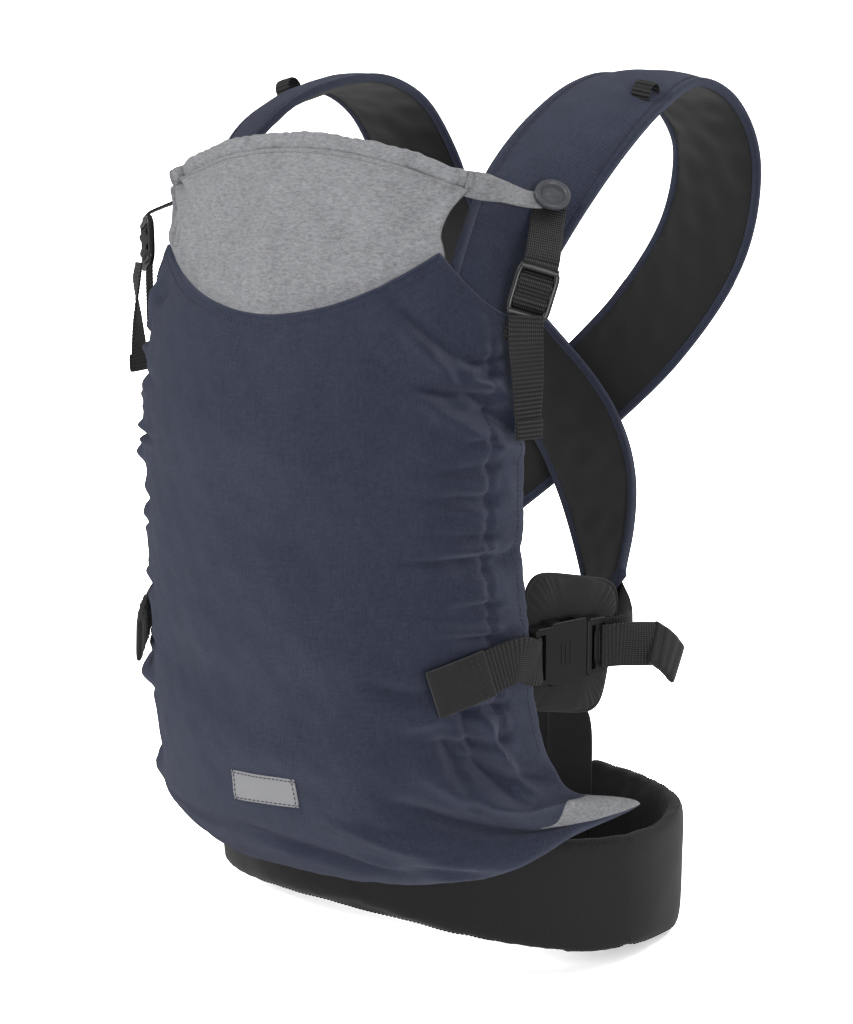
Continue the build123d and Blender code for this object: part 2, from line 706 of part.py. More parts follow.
body, thick, depth, frame_length = buckle_sizes(side_webbing_width)
for side_name, side in sides.items():
    base = side_plane(side)
    out = tuple(base.z_dir)
    save(socket_body(base, side_webbing_width), f"side_socket_{side_name}")
    save(plug_body(base, side_webbing_width), f"side_plug_{side_name}")
    upper = 1 if base.y_dir.Z > 0 else -1
    save(prong(base, side_webbing_width, upper), f"side_latch_upper_{side_name}")
    save(prong(base, side_webbing_width, -upper), f"side_latch_lower_{side_name}")

    # Webbing from the panel's side hem to the socket on the buckle's inner side, and its loose end, which
    # comes out over the socket and lies round the panel's edge with a sewn cloth cap.
    slot_at = depth + frame_length
    inner_route = [side_point(base, slot_at + 9, -9.5), side_point(base, slot_at + 1, -thick / 2 - 1.5)]
    tail_route = [
        side_point(base, slot_at - 3, thick / 2 + 1.5),
        side_point(base, slot_at + 6, thick / 2 + 19),
        (side * 159, -122, 236),
        (side * 147, -150, 229),
        (side * 128, -176, 219),
    ]
    tail_out = [out, out, (side * 0.9, -0.45, 0), (side * 0.75, -0.66, 0), (side * 0.62, -0.78, 0)]
    tail_planes = route_planes(tail_route, tail_out)
    with BuildPart() as side_webbing:
        add(strip(route_planes(inner_route, [out, out]), [side_webbing_width] * 2, -webbing / 2, webbing / 2))
        add(strip(tail_planes[:4], [side_webbing_width] * 4, -webbing / 2, webbing / 2))
        add(strip(tail_planes[3:], [side_webbing_width + 2] * 2, -cap_thickness / 2, cap_thickness / 2))
    save(side_webbing.part, f"side_webbing_{side_name}")

    # Webbing from the plug round to the outside of the shoulder strap's lower end.
    end_plane = strap_planes["left" if side > 0 else "right"][-1]
    strap_face = end_plane.y_dir
    lap = end_plane.origin + strap_face * (strap_outside + 1.6)
    with BuildPart() as end_webbing:
        route = [
            side_point(base, -frame_length - 5, -thick / 2 - 1.5),
            side_point(base, -frame_length - 38, -thick / 2 - 1.5),
            (side * 144, 46, 229),
            tuple(lap - end_plane.z_dir * 2),
            tuple(lap - end_plane.z_dir * 26),
        ]
        outward = [out, out, (side * 0.85, 0.5, 0), tuple(strap_face), tuple(strap_face)]
        widths = [side_webbing_width] * 5
        add(strip(route_planes(route, outward), widths, -webbing / 2, webbing / 2))
    save(end_webbing.part, f"strap_end_webbing_{side_name}")

    # The plug's own loose end stands away behind, capped like the other.
    rear_route = [
        side_point(base, -frame_length + 2, thick / 2 + 1.5),
        side_point(base, -frame_length - 14, thick / 2 + 7),
        (side * 186, 12, 224),
        (side * 193, 30, 206),
    ]
    rear_out = [out, out, (side * 0.93, -0.1, 0.3), (side * 0.95, -0.1, 0.35)]
    rear_planes = route_planes(rear_route, rear_out)
    with BuildPart() as rear_tail:
        add(strip(rear_planes[:3], [side_webbing_width] * 3, -webbing / 2, webbing / 2))
        add(strip(rear_planes[2:], [side_webbing_width + 2] * 2, -cap_thickness / 2, cap_thickness / 2))
    save(rear_tail.part, f"strap_end_tail_{side_name}")

    # A padded guard behind the buckle keeps it off the skin.
    with BuildPart() as guard:
        with BuildSketch(base.offset(-guard_offset - guard_thickness / 2)):
            with Locations((2, 0)):
                RectangleRounded(guard_length, guard_height, 12, rotation=upper * guard_tilt)
        extrude(amount=guard_thickness)
        fillet(guard.faces().filter_by(Axis(base.origin, base.z_dir)).edges(), 2.5)
    save(guard.part, f"buckle_guard_{side_name}")

# ---- Waist buckle and its webbing ----------------------------------------------------------------------------
waist_z = 50.0
_, waist_thick, waist_depth, waist_frame = buckle_sizes(waist_webbing_width)
waist_y = belt_centre_y + belt_half_depth + waist_thick / 2 + 2
waist_base = Plane(origin=(0, waist_y, waist_z), x_dir=(-1, 0, 0), z_dir=(0, 1, 0))
save(socket_body(waist_base, waist_webbing_width), "waist_socket")
save(plug_body(waist_base, waist_webbing_width), "waist_plug")
waist_upper = 1 if waist_base.y_dir.Z > 0 else -1
save(prong(waist_base, waist_webbing_width, waist_upper), "waist_latch_upper")
save(prong(waist_base, waist_webbing_width, -waist_upper), "waist_latch_lower")


def waist_strip(points, width=waist_webbing_width):
    """Webbing along the back of the belt through points given as x and y."""
    route = [(x, y, waist_z) for x, y in points]
    outward = []
    for k in range(len(points)):
        before, after = points[max(k - 1, 0)], points[min(k + 1, len(points) - 1)]
        run = Vector(after[0] - before[0], after[1] - before[1], 0).normalized()
        outward.append((-run.Y, run.X, 0) if run.X > 0 else (run.Y, -run.X, 0))
    return route_planes(route, outward), [width] * len(points)


def belt_back(x, out):
    """The belt's outer face behind, at a distance outwards."""
    share = (1 - abs(x / belt_half_width) ** belt_power) ** (1 / belt_power)
    return x, belt_centre_y + belt_half_depth * share + out


webbing_y = belt_centre_y + belt_half_depth + 1.0
socket_end = waist_depth + waist_frame
plug_end = waist_frame + 4
left_run = [(-socket_end + 5, webbing_y), (-80, webbing_y), belt_back(-104, 1.6), belt_back(-124, 1.6)]
right_run = [(plug_end - 8, webbing_y), (80, webbing_y), belt_back(104, 1.6), belt_back(124, 1.6)]
for name, run in (("waist_webbing_left", left_run), ("waist_webbing_right", right_run)):
    with BuildPart() as waist_webbing:
        add(strip(*waist_strip(run), -0.6, 0.6))
    save(waist_webbing.part, name)

tail_y = waist_y + waist_thick / 2 + 1.8
waist_tail_planes, waist_tail_widths = waist_strip(
    [(plug_end - 10, tail_y), (34, tail_y - 1), (66, tail_y - 6), (96, tail_y - 9), (112, tail_y - 10)]
)
with BuildPart() as waist_tail:
    add(strip(waist_tail_planes[:4], waist_tail_widths[:4], -webbing / 2, webbing / 2))
    add(strip(waist_tail_planes[3:], [waist_webbing_width + 2] * 2, -cap_thickness / 2, cap_thickness / 2))
save(waist_tail.part, "waist_tail")
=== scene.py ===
"""Soft baby carrier, dressed for the studio in the order in which the real one is sewn together.
Metres, +Z up, the panel's outside faces -Y. Each piece of the right side, +X, is made again for the left."""

from math import cos, pi, radians, sin

import bmesh
import bpy
import numpy as np
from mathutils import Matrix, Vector
from mathutils.bvhtree import BVHTree


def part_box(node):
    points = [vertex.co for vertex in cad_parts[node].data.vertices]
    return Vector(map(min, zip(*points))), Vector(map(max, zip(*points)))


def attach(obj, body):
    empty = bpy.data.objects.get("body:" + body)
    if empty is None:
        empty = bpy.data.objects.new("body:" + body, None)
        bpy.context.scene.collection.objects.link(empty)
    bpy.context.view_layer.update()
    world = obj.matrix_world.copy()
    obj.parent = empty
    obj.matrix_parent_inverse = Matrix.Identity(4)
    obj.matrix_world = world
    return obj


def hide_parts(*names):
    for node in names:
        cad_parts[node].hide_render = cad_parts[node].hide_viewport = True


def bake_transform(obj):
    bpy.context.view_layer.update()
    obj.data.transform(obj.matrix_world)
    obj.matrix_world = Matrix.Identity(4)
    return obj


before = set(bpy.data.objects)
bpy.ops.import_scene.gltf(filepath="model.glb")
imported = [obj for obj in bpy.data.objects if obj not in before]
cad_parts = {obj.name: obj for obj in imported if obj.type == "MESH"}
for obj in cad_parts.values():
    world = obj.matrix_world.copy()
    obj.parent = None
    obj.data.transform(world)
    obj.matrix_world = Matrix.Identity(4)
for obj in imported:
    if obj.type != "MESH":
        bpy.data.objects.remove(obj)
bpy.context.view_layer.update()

mm = 0.001
sides = {"right": 1, "left": -1}

# ---- Studio ----------------------------------------------------------------------------------------------
# A white room: one pale floor, an even white surround, a broad soft key from the upper left of the camera,
# a weaker fill from the right and a strip behind that draws light along the strap edges.
aim = Vector((0, 20 * mm, 297 * mm))
turn, rise = radians(35), radians(10)
camera = bpy.data.objects.new("camera", bpy.data.cameras.new("camera"))
camera.location = aim + 1.5 * Vector((sin(turn) * cos(rise), -cos(turn) * cos(rise), sin(rise)))
camera.rotation_euler = (aim - camera.location).to_track_quat("-Z", "Y").to_euler()
camera.data.lens = 70.66
camera.data.shift_x = -0.018
bpy.context.scene.collection.objects.link(camera)
bpy.context.scene.camera = camera
bpy.context.scene.view_settings.view_transform = "Standard"

world = bpy.data.worlds.new("white room")
world.use_nodes = True
world.node_tree.nodes["Background"].inputs["Color"].default_value = (1, 1, 1, 1)
seen = world.node_tree.nodes.new("ShaderNodeLightPath")
strength = world.node_tree.nodes.new("ShaderNodeMath")
strength.operation = "MULTIPLY_ADD"
strength.inputs[1].default_value = 2.3
strength.inputs[2].default_value = 0.3
world.node_tree.links.new(seen.outputs["Is Camera Ray"], strength.inputs[0])
world.node_tree.links.new(strength.outputs[0], world.node_tree.nodes["Background"].inputs["Strength"])
bpy.context.scene.world = world

for name, place, size, power in (
    ("key", (-1.5, -1.9, 2.0), 1.0, 27),
    ("fill", (2.5, -2.0, 0.5), 1.2, 30),
    ("rim", (0.9, 2.2, 2.2), 1.2, 15),
):
    lamp = bpy.data.objects.new(name, bpy.data.lights.new(name, "AREA"))
    lamp.data.size = size
    lamp.data.energy = power
    lamp.location = place
    lamp.rotation_euler = (aim - lamp.location).to_track_quat("-Z", "Y").to_euler()
    bpy.context.scene.collection.objects.link(lamp)


# ---- Waist belt ------------------------------------------------------------------------------------------
# A long foam core in matte black cotton canvas, bent round the waist and open behind. The cover is sewn
# inside out and turned, so its long edges are soft rolls with a row of stitching just inside them.
class Value:
    """A shader socket. Its operators add Math nodes, so that a pattern is written as a formula."""

    def __init__(self, paint, socket):
        self.paint, self.socket = paint, socket

    def maths(self, operation, *values):
        return self.paint.node("ShaderNodeMath", {"operation": operation}, values)

    def __add__(self, other):
        return self.maths("ADD", self, other)

    __radd__ = __add__

    def __sub__(self, other):
        return self.maths("SUBTRACT", self, other)

    def __rsub__(self, other):
        return self.maths("SUBTRACT", other, self)

    def __mul__(self, other):
        return self.maths("MULTIPLY", self, other)

    __rmul__ = __mul__

    def wave(self):
        return self.maths("SINE", self)

    def power(self, exponent):
        return self.maths("POWER", self, exponent)


class Paint:
    """A material being mixed. node() adds one node, settings first, and returns one of its outputs."""

    def __init__(self, name, **fixed):
        self.material = bpy.data.materials.new(name)
        self.material.use_nodes = True
        self.tree = self.material.node_tree
        self.shader = self.tree.nodes["Principled BSDF"]
        for socket, value in fixed.items():
            self.shader.inputs[socket.replace("_", " ")].default_value = value

    def set(self, socket, value):
        if isinstance(value, Value):
            self.tree.links.new(value.socket, socket)
        else:
            socket.default_value = value

    def node(self, kind, settings=None, inputs=(), output=0):
        made = self.tree.nodes.new(kind)
        for key, value in (settings or {}).items():
            setattr(made, key, value)
        pairs = inputs.items() if isinstance(inputs, dict) else enumerate(inputs)
        for key, value in pairs:
            self.set(made.inputs[key], value)
        return Value(self, made.outputs[output])

    def place(self, kind="Object"):
        return self.node("ShaderNodeTexCoord", output=kind)

    def across_and_along(self):
        """The two lengths of the piece's own UV map, in metres."""
        parts = self.node("ShaderNodeSeparateXYZ", inputs=[self.place("UV")])
        return parts, Value(self, parts.socket.node.outputs[1])

    def noise(self, scale, detail=3.0, roughness=0.6, place=None):
        inputs = {"Vector": place or self.place(), "Scale": scale, "Detail": detail, "Roughness": roughness}
        return self.node("ShaderNodeTexNoise", inputs=inputs)

    def stretched(self, scale, kind="Object"):
        return self.node("ShaderNodeMapping", inputs={"Vector": self.place(kind), "Scale": scale})

    def colour(self, share, first, second):
        """Base colour between two colours, by a share that is held between 0 and 1."""
        share = share.maths("MULTIPLY_ADD", share, 1.0, 0.0)
        share.socket.node.use_clamp = True
        inputs = {0: share, 6: (*first, 1), 7: (*second, 1)}
        mixed = self.node("ShaderNodeMix", {"data_type": "RGBA"}, inputs, output=2)
        self.set(self.shader.inputs["Base Color"], mixed)

    def rough(self, value):
        self.set(self.shader.inputs["Roughness"], value)

    def bump(self, height, distance, strength=1.0):
        inputs = {"Height": height, "Distance": distance, "Strength": strength}
        self.set(self.shader.inputs["Normal"], self.node("ShaderNodeBump", inputs=inputs))
        return self.material


def black_canvas():
    """Matte cotton canvas: fine grain in the thread, a little lint, paler where the cloth is rubbed."""
    paint = Paint("black_canvas", Sheen_Weight=0.25, Sheen_Roughness=0.5, Specular_IOR_Level=0.25)
    threads = paint.noise(900.0, 2.0, 0.7, paint.stretched((1.0, 1.0, 0.45)))
    crossing = paint.noise(1300.0, 1.0, 0.5, paint.stretched((0.4, 0.4, 1.0)))
    lint = paint.noise(2600.0, 1.0).power(7.0)
    wear = paint.noise(14.0, 4.0)
    paint.colour(threads * 0.5 + wear * 0.45 + lint * 4.0, (0.014, 0.014, 0.015), (0.045, 0.044, 0.046))
    paint.rough(wear * 0.15 + 0.8)
    return paint.bump(threads * 0.6 + crossing * 0.6, 0.0005, 0.7)


def thread(name, shade):
    """Sewing thread: two plies twisted together, so it is ribbed along its length."""
    paint = Paint(name, Sheen_Weight=0.2)
    paint.colour(paint.noise(1500.0), tuple(0.6 * c for c in shade), tuple(1.3 * c for c in shade))
    paint.rough(paint.noise(700.0) * 0.2 + 0.6)
    return paint.bump(paint.noise(2400.0), 0.0002)


def through(x, knots, values):
    """Smooth curve through given values: cubic Hermite spans whose slopes are the central
    differences."""
    knots, values = np.asarray(knots, float), np.asarray(values, float)
    slopes = np.gradient(values, knots, axis=0)
    k = np.clip(np.searchsorted(knots, x) - 1, 0, len(knots) - 2)
    span = (knots[k + 1] - knots[k])[..., None]
    t = (np.asarray(x) - knots[k])[..., None] / span
    start = (2 * t**3 - 3 * t**2 + 1) * values[k] + (t**3 - 2 * t**2 + t) * span * slopes[k]
    return start + (3 * t**2 - 2 * t**3) * values[k + 1] + (t**3 - t**2) * span * slopes[k + 1]


def unit(vectors):
    return vectors / np.linalg.norm(vectors, axis=-1, keepdims=True)


def ease(x, low, high):
    """0 below low, 1 above high, and 3t^2 - 2t^3 between."""
    t = np.clip((x - low) / (high - low), 0, 1)
    return t * t * (3 - 2 * t)


def rumple(u, v, size, seed):
    """Uneven ripples from -1 to 1 over two lengths: the mean of six sines with turned and scaled
    directions."""
    total = 0
    for k in range(6):
        angle = seed * 1.7 + k * 2.4
        step = (0.75 + 0.22 * k) * 2 * pi / size
        total = total + np.sin((u * cos(angle) + v * sin(angle)) * step + seed * k)
    return total / 6


def skin(name, rings, material, loop=False):
    """Closed skin over a stack of closed rings [row, point, xyz]. The first and last ring are closed by
    strips from point k across to its opposite, or with loop the stack joins its own start. The UV map is
    in metres: the length round the rings, then the length along the stack."""
    rows, count = rings.shape[:2]
    i, j = np.meshgrid(np.arange(rows if loop else rows - 1), np.arange(count), indexing="ij")
    row = i.ravel()[:, None] + [0, 0, 1, 1]
    column = j.ravel()[:, None] + [0, 1, 1, 0]
    around = np.linalg.norm(np.roll(rings, -1, 1) - rings, axis=2).mean(0)
    along = np.linalg.norm(np.roll(rings, -1, 0) - rings, axis=2).mean(1)
    u, v = np.append(0, np.cumsum(around)), np.append(0, np.cumsum(along))
    corners = (row % rows) * count + column % count
    lengths = np.stack([u[column], v[row]], -1)
    if not loop:
        k = np.arange(count // 2 - 1)
        strip = np.stack([k, k + 1, count - 2 - k, count - 1 - k], -1)
        corners = np.concatenate([corners, strip, strip + (rows - 1) * count])
        ends = np.stack([u[strip], np.zeros(strip.shape)], -1)
        lengths = np.concatenate([lengths, ends, ends + [0, v[rows - 1]]])
    mesh = bpy.data.meshes.new(name)
    mesh.from_pydata(rings.reshape(-1, 3).tolist(), [], corners.tolist())
    mesh.uv_layers.new(name="UVMap").data.foreach_set("uv", lengths.astype(np.float32).ravel())
    return outward_piece(name, mesh, material)


def outward_piece(name, mesh, material):
    """Turns every face of a closed mesh outwards, shades it smooth and links it as a piece."""
    shell = bmesh.new()
    shell.from_mesh(mesh)
    bmesh.ops.recalc_face_normals(shell, faces=shell.faces)
    shell.to_mesh(mesh)
    shell.free()
    mesh.polygons.foreach_set("use_smooth", np.ones(len(mesh.polygons), bool))
    mesh.materials.append(material)
    piece = bpy.data.objects.new(name, mesh)
    bpy.context.scene.collection.objects.link(piece)
    return piece


def oval(half_width, half_thickness, power=2.0, count=24):
    """Closed outline |x/w|^p + |y/h|^p = 1, stepped evenly in angle, clear of the two ends."""
    angle = (np.arange(count) + 0.5) / count * 2 * pi
    c, s = np.cos(angle), np.sin(angle)
    x = half_width * np.sign(c) * np.abs(c) ** (2 / power)
    y = half_thickness * np.sign(s) * np.abs(s) ** (2 / power)
    return np.stack([x, y], -1)


def axes(path, outward):
    """Along a path: its run, the direction across it and the one outwards, all square to each other."""
    run = unit(np.gradient(path, axis=0))
    across = unit(np.cross(np.broadcast_to(outward, path.shape), run))
    return run, across, np.cross(run, across)


def carried(path, outward, outline):
    """Rings of an outline carried along a path: x lies across, square to the run, and y points outwards."""
    run, across, up = axes(path, outward)
    outline = np.broadcast_to(outline, (len(path), *outline.shape[-2:]))
    return path[:, None] + outline[..., :1] * across[:, None] + outline[..., 1:] * up[:, None]


def evenly(path, spacing):
    """Fractional places along a path, counted in its points, that step it at equal lengths."""
    lengths = np.append(0, np.cumsum(np.linalg.norm(np.diff(path, axis=0), axis=1)))
    count = max(4, int(lengths[-1] / spacing) + 1)
    return np.interp(np.linspace(0, lengths[-1], count), lengths, np.arange(len(path)))


def at(places, values):
    """Reads rows of values at fractional places, straight between neighbours."""
    low = np.minimum(places.astype(int), len(values) - 2)
    share = (places - low)[:, None]
    return values[low] * (1 - share) + values[low + 1] * share


def stitches(name, path, outward, material, pitch=3.4 * mm, lift=0.15 * mm):
    """A row of lock stitches: each is a short six-sided bead along the path, sunk to its middle in the
    cloth."""
    places = evenly(path, pitch)
    centres, faces = at(places, path), at(places, np.broadcast_to(outward, path.shape))
    run = unit(np.gradient(centres, axis=0))
    faces = unit(faces - (faces * run).sum(-1, keepdims=True) * run)
    across = np.cross(run, faces)
    angle = np.arange(6) * pi / 3
    steps, girth = np.array([-1.15, -0.7, 0.7, 1.15]) * mm, np.array([0.12, 0.36, 0.36, 0.12]) * mm
    rings = (
        (centres + faces * lift)[:, None, None]
        + run[:, None, None] * steps[:, None, None]
        + girth[:, None, None]
        * (np.cos(angle)[:, None] * across[:, None, None] + np.sin(angle)[:, None] * faces[:, None, None])
    )
    walls = [(r, r + 6, c, (c + 1) % 6) for r in (0, 6, 12) for c in range(6)]
    one = [[low + c, low + d, high + d, high + c] for low, high, c, d in walls]
    one += [[e, e + 1, e + 4, e + 5] for e in (0, 18)] + [[e + 1, e + 2, e + 3, e + 4] for e in (0, 18)]
    corners = np.arange(len(centres))[:, None, None] * 24 + np.array(one)
    mesh = bpy.data.meshes.new(name)
    mesh.from_pydata(rings.reshape(-1, 3).tolist(), [], corners.reshape(-1, 4).tolist())
    return outward_piece(name, mesh, material)


def onto(piece, path, out):
    """Drops each point of a path on to a piece, from 25 mm outside it. Points that miss are left out."""
    mesh = piece.data
    tree = BVHTree.FromPolygons([v.co for v in mesh.vertices], [p.vertices for p in mesh.polygons])
    hits = [tree.ray_cast(Vector(p + o * 25 * mm), -Vector(o), 50 * mm) for p, o in zip(path, out)]
    points, normals = zip(*[hit[:2] for hit in hits if hit[0] is not None])
    return np.array([list(p) for p in points]), np.array([list(n) for n in normals])


def coordinates(mesh, what="co"):
    """A mesh's points, or their normals, as rows."""
    flat = np.zeros(len(mesh.vertices) * 3)
    mesh.vertices.foreach_get(what, flat)
    return flat.reshape(-1, 3)


def plump(piece, cell, most):
    """Blows a closed form up like a stuffed cover: rebuilt in even cells, then run as cloth under pressure
    with no gravity for twenty frames. No point ends further than most from where it began. One
    subdivision smooths it."""
    bpy.context.view_layer.objects.active = piece
    remesh = piece.modifiers.new("even cells", "REMESH")
    remesh.mode = "VOXEL"
    remesh.voxel_size = cell
    remesh.use_smooth_shade = True
    bpy.ops.object.modifier_apply(modifier=remesh.name)
    start = coordinates(piece.data)
    scene = bpy.context.scene
    cloth = piece.modifiers.new("cover", "CLOTH")
    cloth.settings.use_pressure = True
    cloth.settings.uniform_pressure_force = 4.0
    cloth.settings.effector_weights.gravity = 0
    cloth.settings.quality = 4
    for k in range(1, 21):
        scene.frame_set(k)
    end = coordinates(piece.evaluated_get(bpy.context.evaluated_depsgraph_get()).to_mesh())
    piece.modifiers.remove(cloth)
    scene.frame_set(1)
    move = end - start
    far = np.linalg.norm(move, axis=1, keepdims=True)
    capped = start + move * np.minimum(1, most / np.maximum(far, 1e-9))
    piece.data.vertices.foreach_set("co", capped.ravel())
    smooth = piece.modifiers.new("smooth", "SUBSURF")
    smooth.levels = smooth.render_levels = 1
    bpy.ops.object.modifier_apply(modifier=smooth.name)
    return piece


def crumple(piece, size, depth, seed):
    """Moves every point along its normal by uneven ripples over its place in the room."""
    mesh = piece.data
    co, normal = coordinates(mesh), coordinates(mesh, "normal")
    ripple = rumple(co[:, 0] + 0.6 * co[:, 2], co[:, 1] - 0.5 * co[:, 2], size, seed)
    mesh.vertices.foreach_set("co", (co + normal * (ripple * depth)[:, None]).ravel())
    mesh.update()


canvas = black_canvas()
black_thread = thread("black_thread", (0.03, 0.03, 0.032))

belt_half_width, belt_half_depth, belt_centre_y = 192 * mm, 108 * mm, 20 * mm
belt_power, belt_height, belt_end_x = 2.6, 96 * mm, 66 * mm
belt_front_rise, belt_rise_depth = 12 * mm, 130 * mm
belt_thickness = 14.8 * mm


def belt_line(angle, inset):
    """Plan of the belt, |x/a|^p + |y/b|^p = 1, measured from the front towards the right."""
    s, c = np.sin(angle), np.cos(angle)
    x = (belt_half_width - inset) * np.sign(s) * np.abs(s) ** (2 / belt_power)
    y = belt_centre_y - (belt_half_depth - inset) * np.sign(c) * np.abs(c) ** (2 / belt_power)
    return np.stack([x, y, np.zeros_like(x)], -1)


def belt_bottom(y):
    """The lower edge slopes up towards the front."""
    front = belt_centre_y - belt_half_depth
    return belt_front_rise * np.clip(1 - (y - front) / belt_rise_depth, 0, 1)


def belt():
    """The stuffed cover: an upright rounded slab carried round the waist and closed to a soft edge at both
    ends, blown up and crumpled. A row of stitches runs just inside each long edge."""
    step, closed_over = 4 * mm, 9 * mm
    end = pi - np.arcsin((belt_end_x / belt_half_width) ** (belt_power / 2))
    places = belt_line(np.linspace(-end, end, 700), belt_thickness / 2)
    plan = at(evenly(places, step), places)
    out = unit(np.cross(np.gradient(plan, axis=0), (0, 0, 1)))
    low = belt_bottom(plan[:, 1])
    from_end = np.minimum(np.arange(len(plan)), np.arange(len(plan))[::-1]) * step
    closing = np.sqrt(1 - (1 - np.clip(from_end / closed_over, 0.04, 1)) ** 2)
    half_height = (belt_height - low) / 2 - 1.5 * mm - 3 * mm * (1 - closing)
    half_thick = (belt_thickness / 2 - 1.6 * mm) * closing
    outline = oval(1, 1, 5, 56)
    middle = plan + ((belt_height + low) / 2)[:, None] * [0, 0, 1]
    height = outline[:, :1] * half_height[:, None, None] * [0, 0, 1]
    depth = outline[:, 1:] * half_thick[:, None, None] * out[:, None]
    piece = plump(skin("belt", middle[:, None] + height + depth, canvas), 5 * mm, 3.0 * mm)
    crumple(piece, 60 * mm, 0.5 * mm, 2)
    edge = belt_line(np.linspace(-end * 0.985, end * 0.985, 700), -0.9 * mm)
    out = unit(np.cross(np.gradient(edge, axis=0), (0, 0, 1)))
    for name, level in (("top", belt_height - 5 * mm), ("low", belt_bottom(edge[:, 1]) + 5.5 * mm)):
        edge[:, 2] = level
        row = stitches(f"belt_{name}_stitches", *onto(piece, edge, out), black_thread)
        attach(row, "carrier")
    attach(piece, "carrier")
    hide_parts("belt_cover", "belt_foam", "belt_lining")


belt()


# ---- Lumbar pad ------------------------------------------------------------------------------------------
# A quilted canvas cushion that bridges the two ends of the belt against the wearer's back. Two sewn
# channels run up it, and a corded seam closes its rim.
def cushion(name, origin, across, up, half_width, half_height, half_thick):
    """A stuffed slab: rings |x/w|^5 + |z/h|^5 = r^5 from the middle of one face out round the rim to the
    other. Depth falls as (1 - r^3)^0.6 to a thin rim, pulled into short puckers where the seam gathers
    the cover."""
    rim = 1.2 * mm
    outline = oval(half_width, half_height, 5, 180)
    r = np.sin(np.linspace(0.02, 1, 36) * pi / 2)
    angle = np.arange(180) / 180 * 2 * pi
    flat = outline[None] * r[:, None, None]
    r = r[:, None]
    pucker = (np.sin(angle * 31 + 2 * np.sin(angle * 5)) + 0.6 * np.sin(angle * 19)) * (r**5) * 0.5 * mm
    depth = (half_thick - rim) * (1 - r**3) ** 0.6 + rim + pucker * (1 - r**40)
    out = np.cross(across, up)
    faces = [
        origin + flat[..., :1] * across + flat[..., 1:] * up + side * depth[..., None] * out
        for side in (1, -1)
    ]
    return skin(name, np.concatenate([faces[0], faces[1][::-1]]), canvas)


def rim_cord(name, origin, across, up, half_width, half_height, radius):
    """The corded seam round a cushion: a thin round tube that follows the same rounded outline."""
    outline = oval(half_width, half_height, 6, 160)
    path = origin + outline[:, :1] * across + outline[:, 1:] * up
    run = unit(np.roll(path, -1, 0) - np.roll(path, 1, 0))
    out = np.cross(across, up)
    side = np.cross(run, out)
    angle = np.arange(10) * pi / 5
    ring = np.cos(angle)[:, None] * side[:, None] + np.sin(angle)[:, None] * out
    return skin(name, path[:, None] + radius * ring, canvas, loop=True)


def lumbar():
    """The cushion fills the pad's own box. Each channel is a groove exp(-(distance/3 mm)^2) pulled in by 55
    percent, which dies out before the rim and has a row of stitches in it on both faces."""
    low, high = (np.array(corner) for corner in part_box("lumbar_pad"))
    middle, half = (low + high) / 2, (high - low) / 2
    across, up = np.array([1.0, 0, 0]), np.array([0, 0, 1.0])
    slab = (middle, across, up, half[0] - 1.5 * mm, half[2] - 1.5 * mm)
    channels = (-40 * mm, 40 * mm)
    piece = cushion("lumbar_pad_cover", *slab, half[1] + 3 * mm)
    co = coordinates(piece.data)
    from_rim = ease(half[2] - np.abs(co[:, 2] - middle[2]), 8 * mm, 20 * mm)
    for x in channels:
        groove = np.exp(-(((co[:, 0] - x) / (3 * mm)) ** 2)) * from_rim
        co[:, 1] = middle[1] + (co[:, 1] - middle[1]) * (1 - 0.55 * groove)
    piece.data.vertices.foreach_set("co", co.ravel())
    crumple(piece, 45 * mm, 0.6 * mm, 5)
    cord = rim_cord("lumbar_cord", *slab, 1.5 * mm)
    for x in channels:
        heights = np.linspace(middle[2] - half[2] + 12 * mm, middle[2] + half[2] - 12 * mm, 60)
        for facing, y in ((1, middle[1] + half[1] * 0.62), (-1, middle[1] - half[1] * 0.62)):
            path = np.stack([np.full(60, x), np.full(60, y), heights], -1)
            name = f"lumbar_seam_{'right' if x > 0 else 'left'}_{'back' if facing > 0 else 'front'}"
            facing_way = np.broadcast_to((0.0, facing, 0), path.shape)
            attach(stitches(name, *onto(piece, path, facing_way), black_thread), "carrier")
    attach(cord, "carrier")
    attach(piece, "carrier")
    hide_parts("lumbar_pad")


lumbar()


# ---- Front panel -----------------------------------------------------------------------------------------
# A pouch of navy cotton twill over thin wadding, lined with grey jersey. Elastic in the two side hems
# gathers the edges, and the lower corners are drawn round on to the belt, so the cloth folds there.
def twill():
    """Navy twill: fine diagonal ribs, slubs along both threads, and a cool bloom where the light grazes
    it."""
    bloom = {"Sheen_Weight": 0.35, "Sheen_Roughness": 0.45, "Sheen_Tint": (0.62, 0.66, 0.85, 1)}
    paint = Paint("navy_twill", **bloom, Specular_IOR_Level=0.3)
    across, along = paint.across_and_along()
    rib_pitch = 1.25 * mm
    ribs = ((across + along * 0.8) * (2 * pi / rib_pitch)).wave() * 0.5 + 0.5
    warp = paint.noise(60.0, 4.0, 0.75, paint.stretched((26.0, 1.0, 1.0), "UV"))
    weft = paint.noise(60.0, 4.0, 0.75, paint.stretched((1.0, 26.0, 1.0), "UV"))
    wear = paint.noise(9.0, 4.0)
    slub = paint.noise(420.0, 3.0, 0.8)
    share = ribs * 0.3 + warp * 1.1 + weft * 1.1 + slub * 0.9 + wear * 0.3 - 1.45
    paint.colour(share, (0.019, 0.023, 0.043), (0.073, 0.085, 0.144))
    paint.rough(wear * 0.12 + 0.72)
    return paint.bump(ribs * 0.5 + warp * 0.7 + weft * 0.7 + slub * 0.5, 0.0007, 0.8)


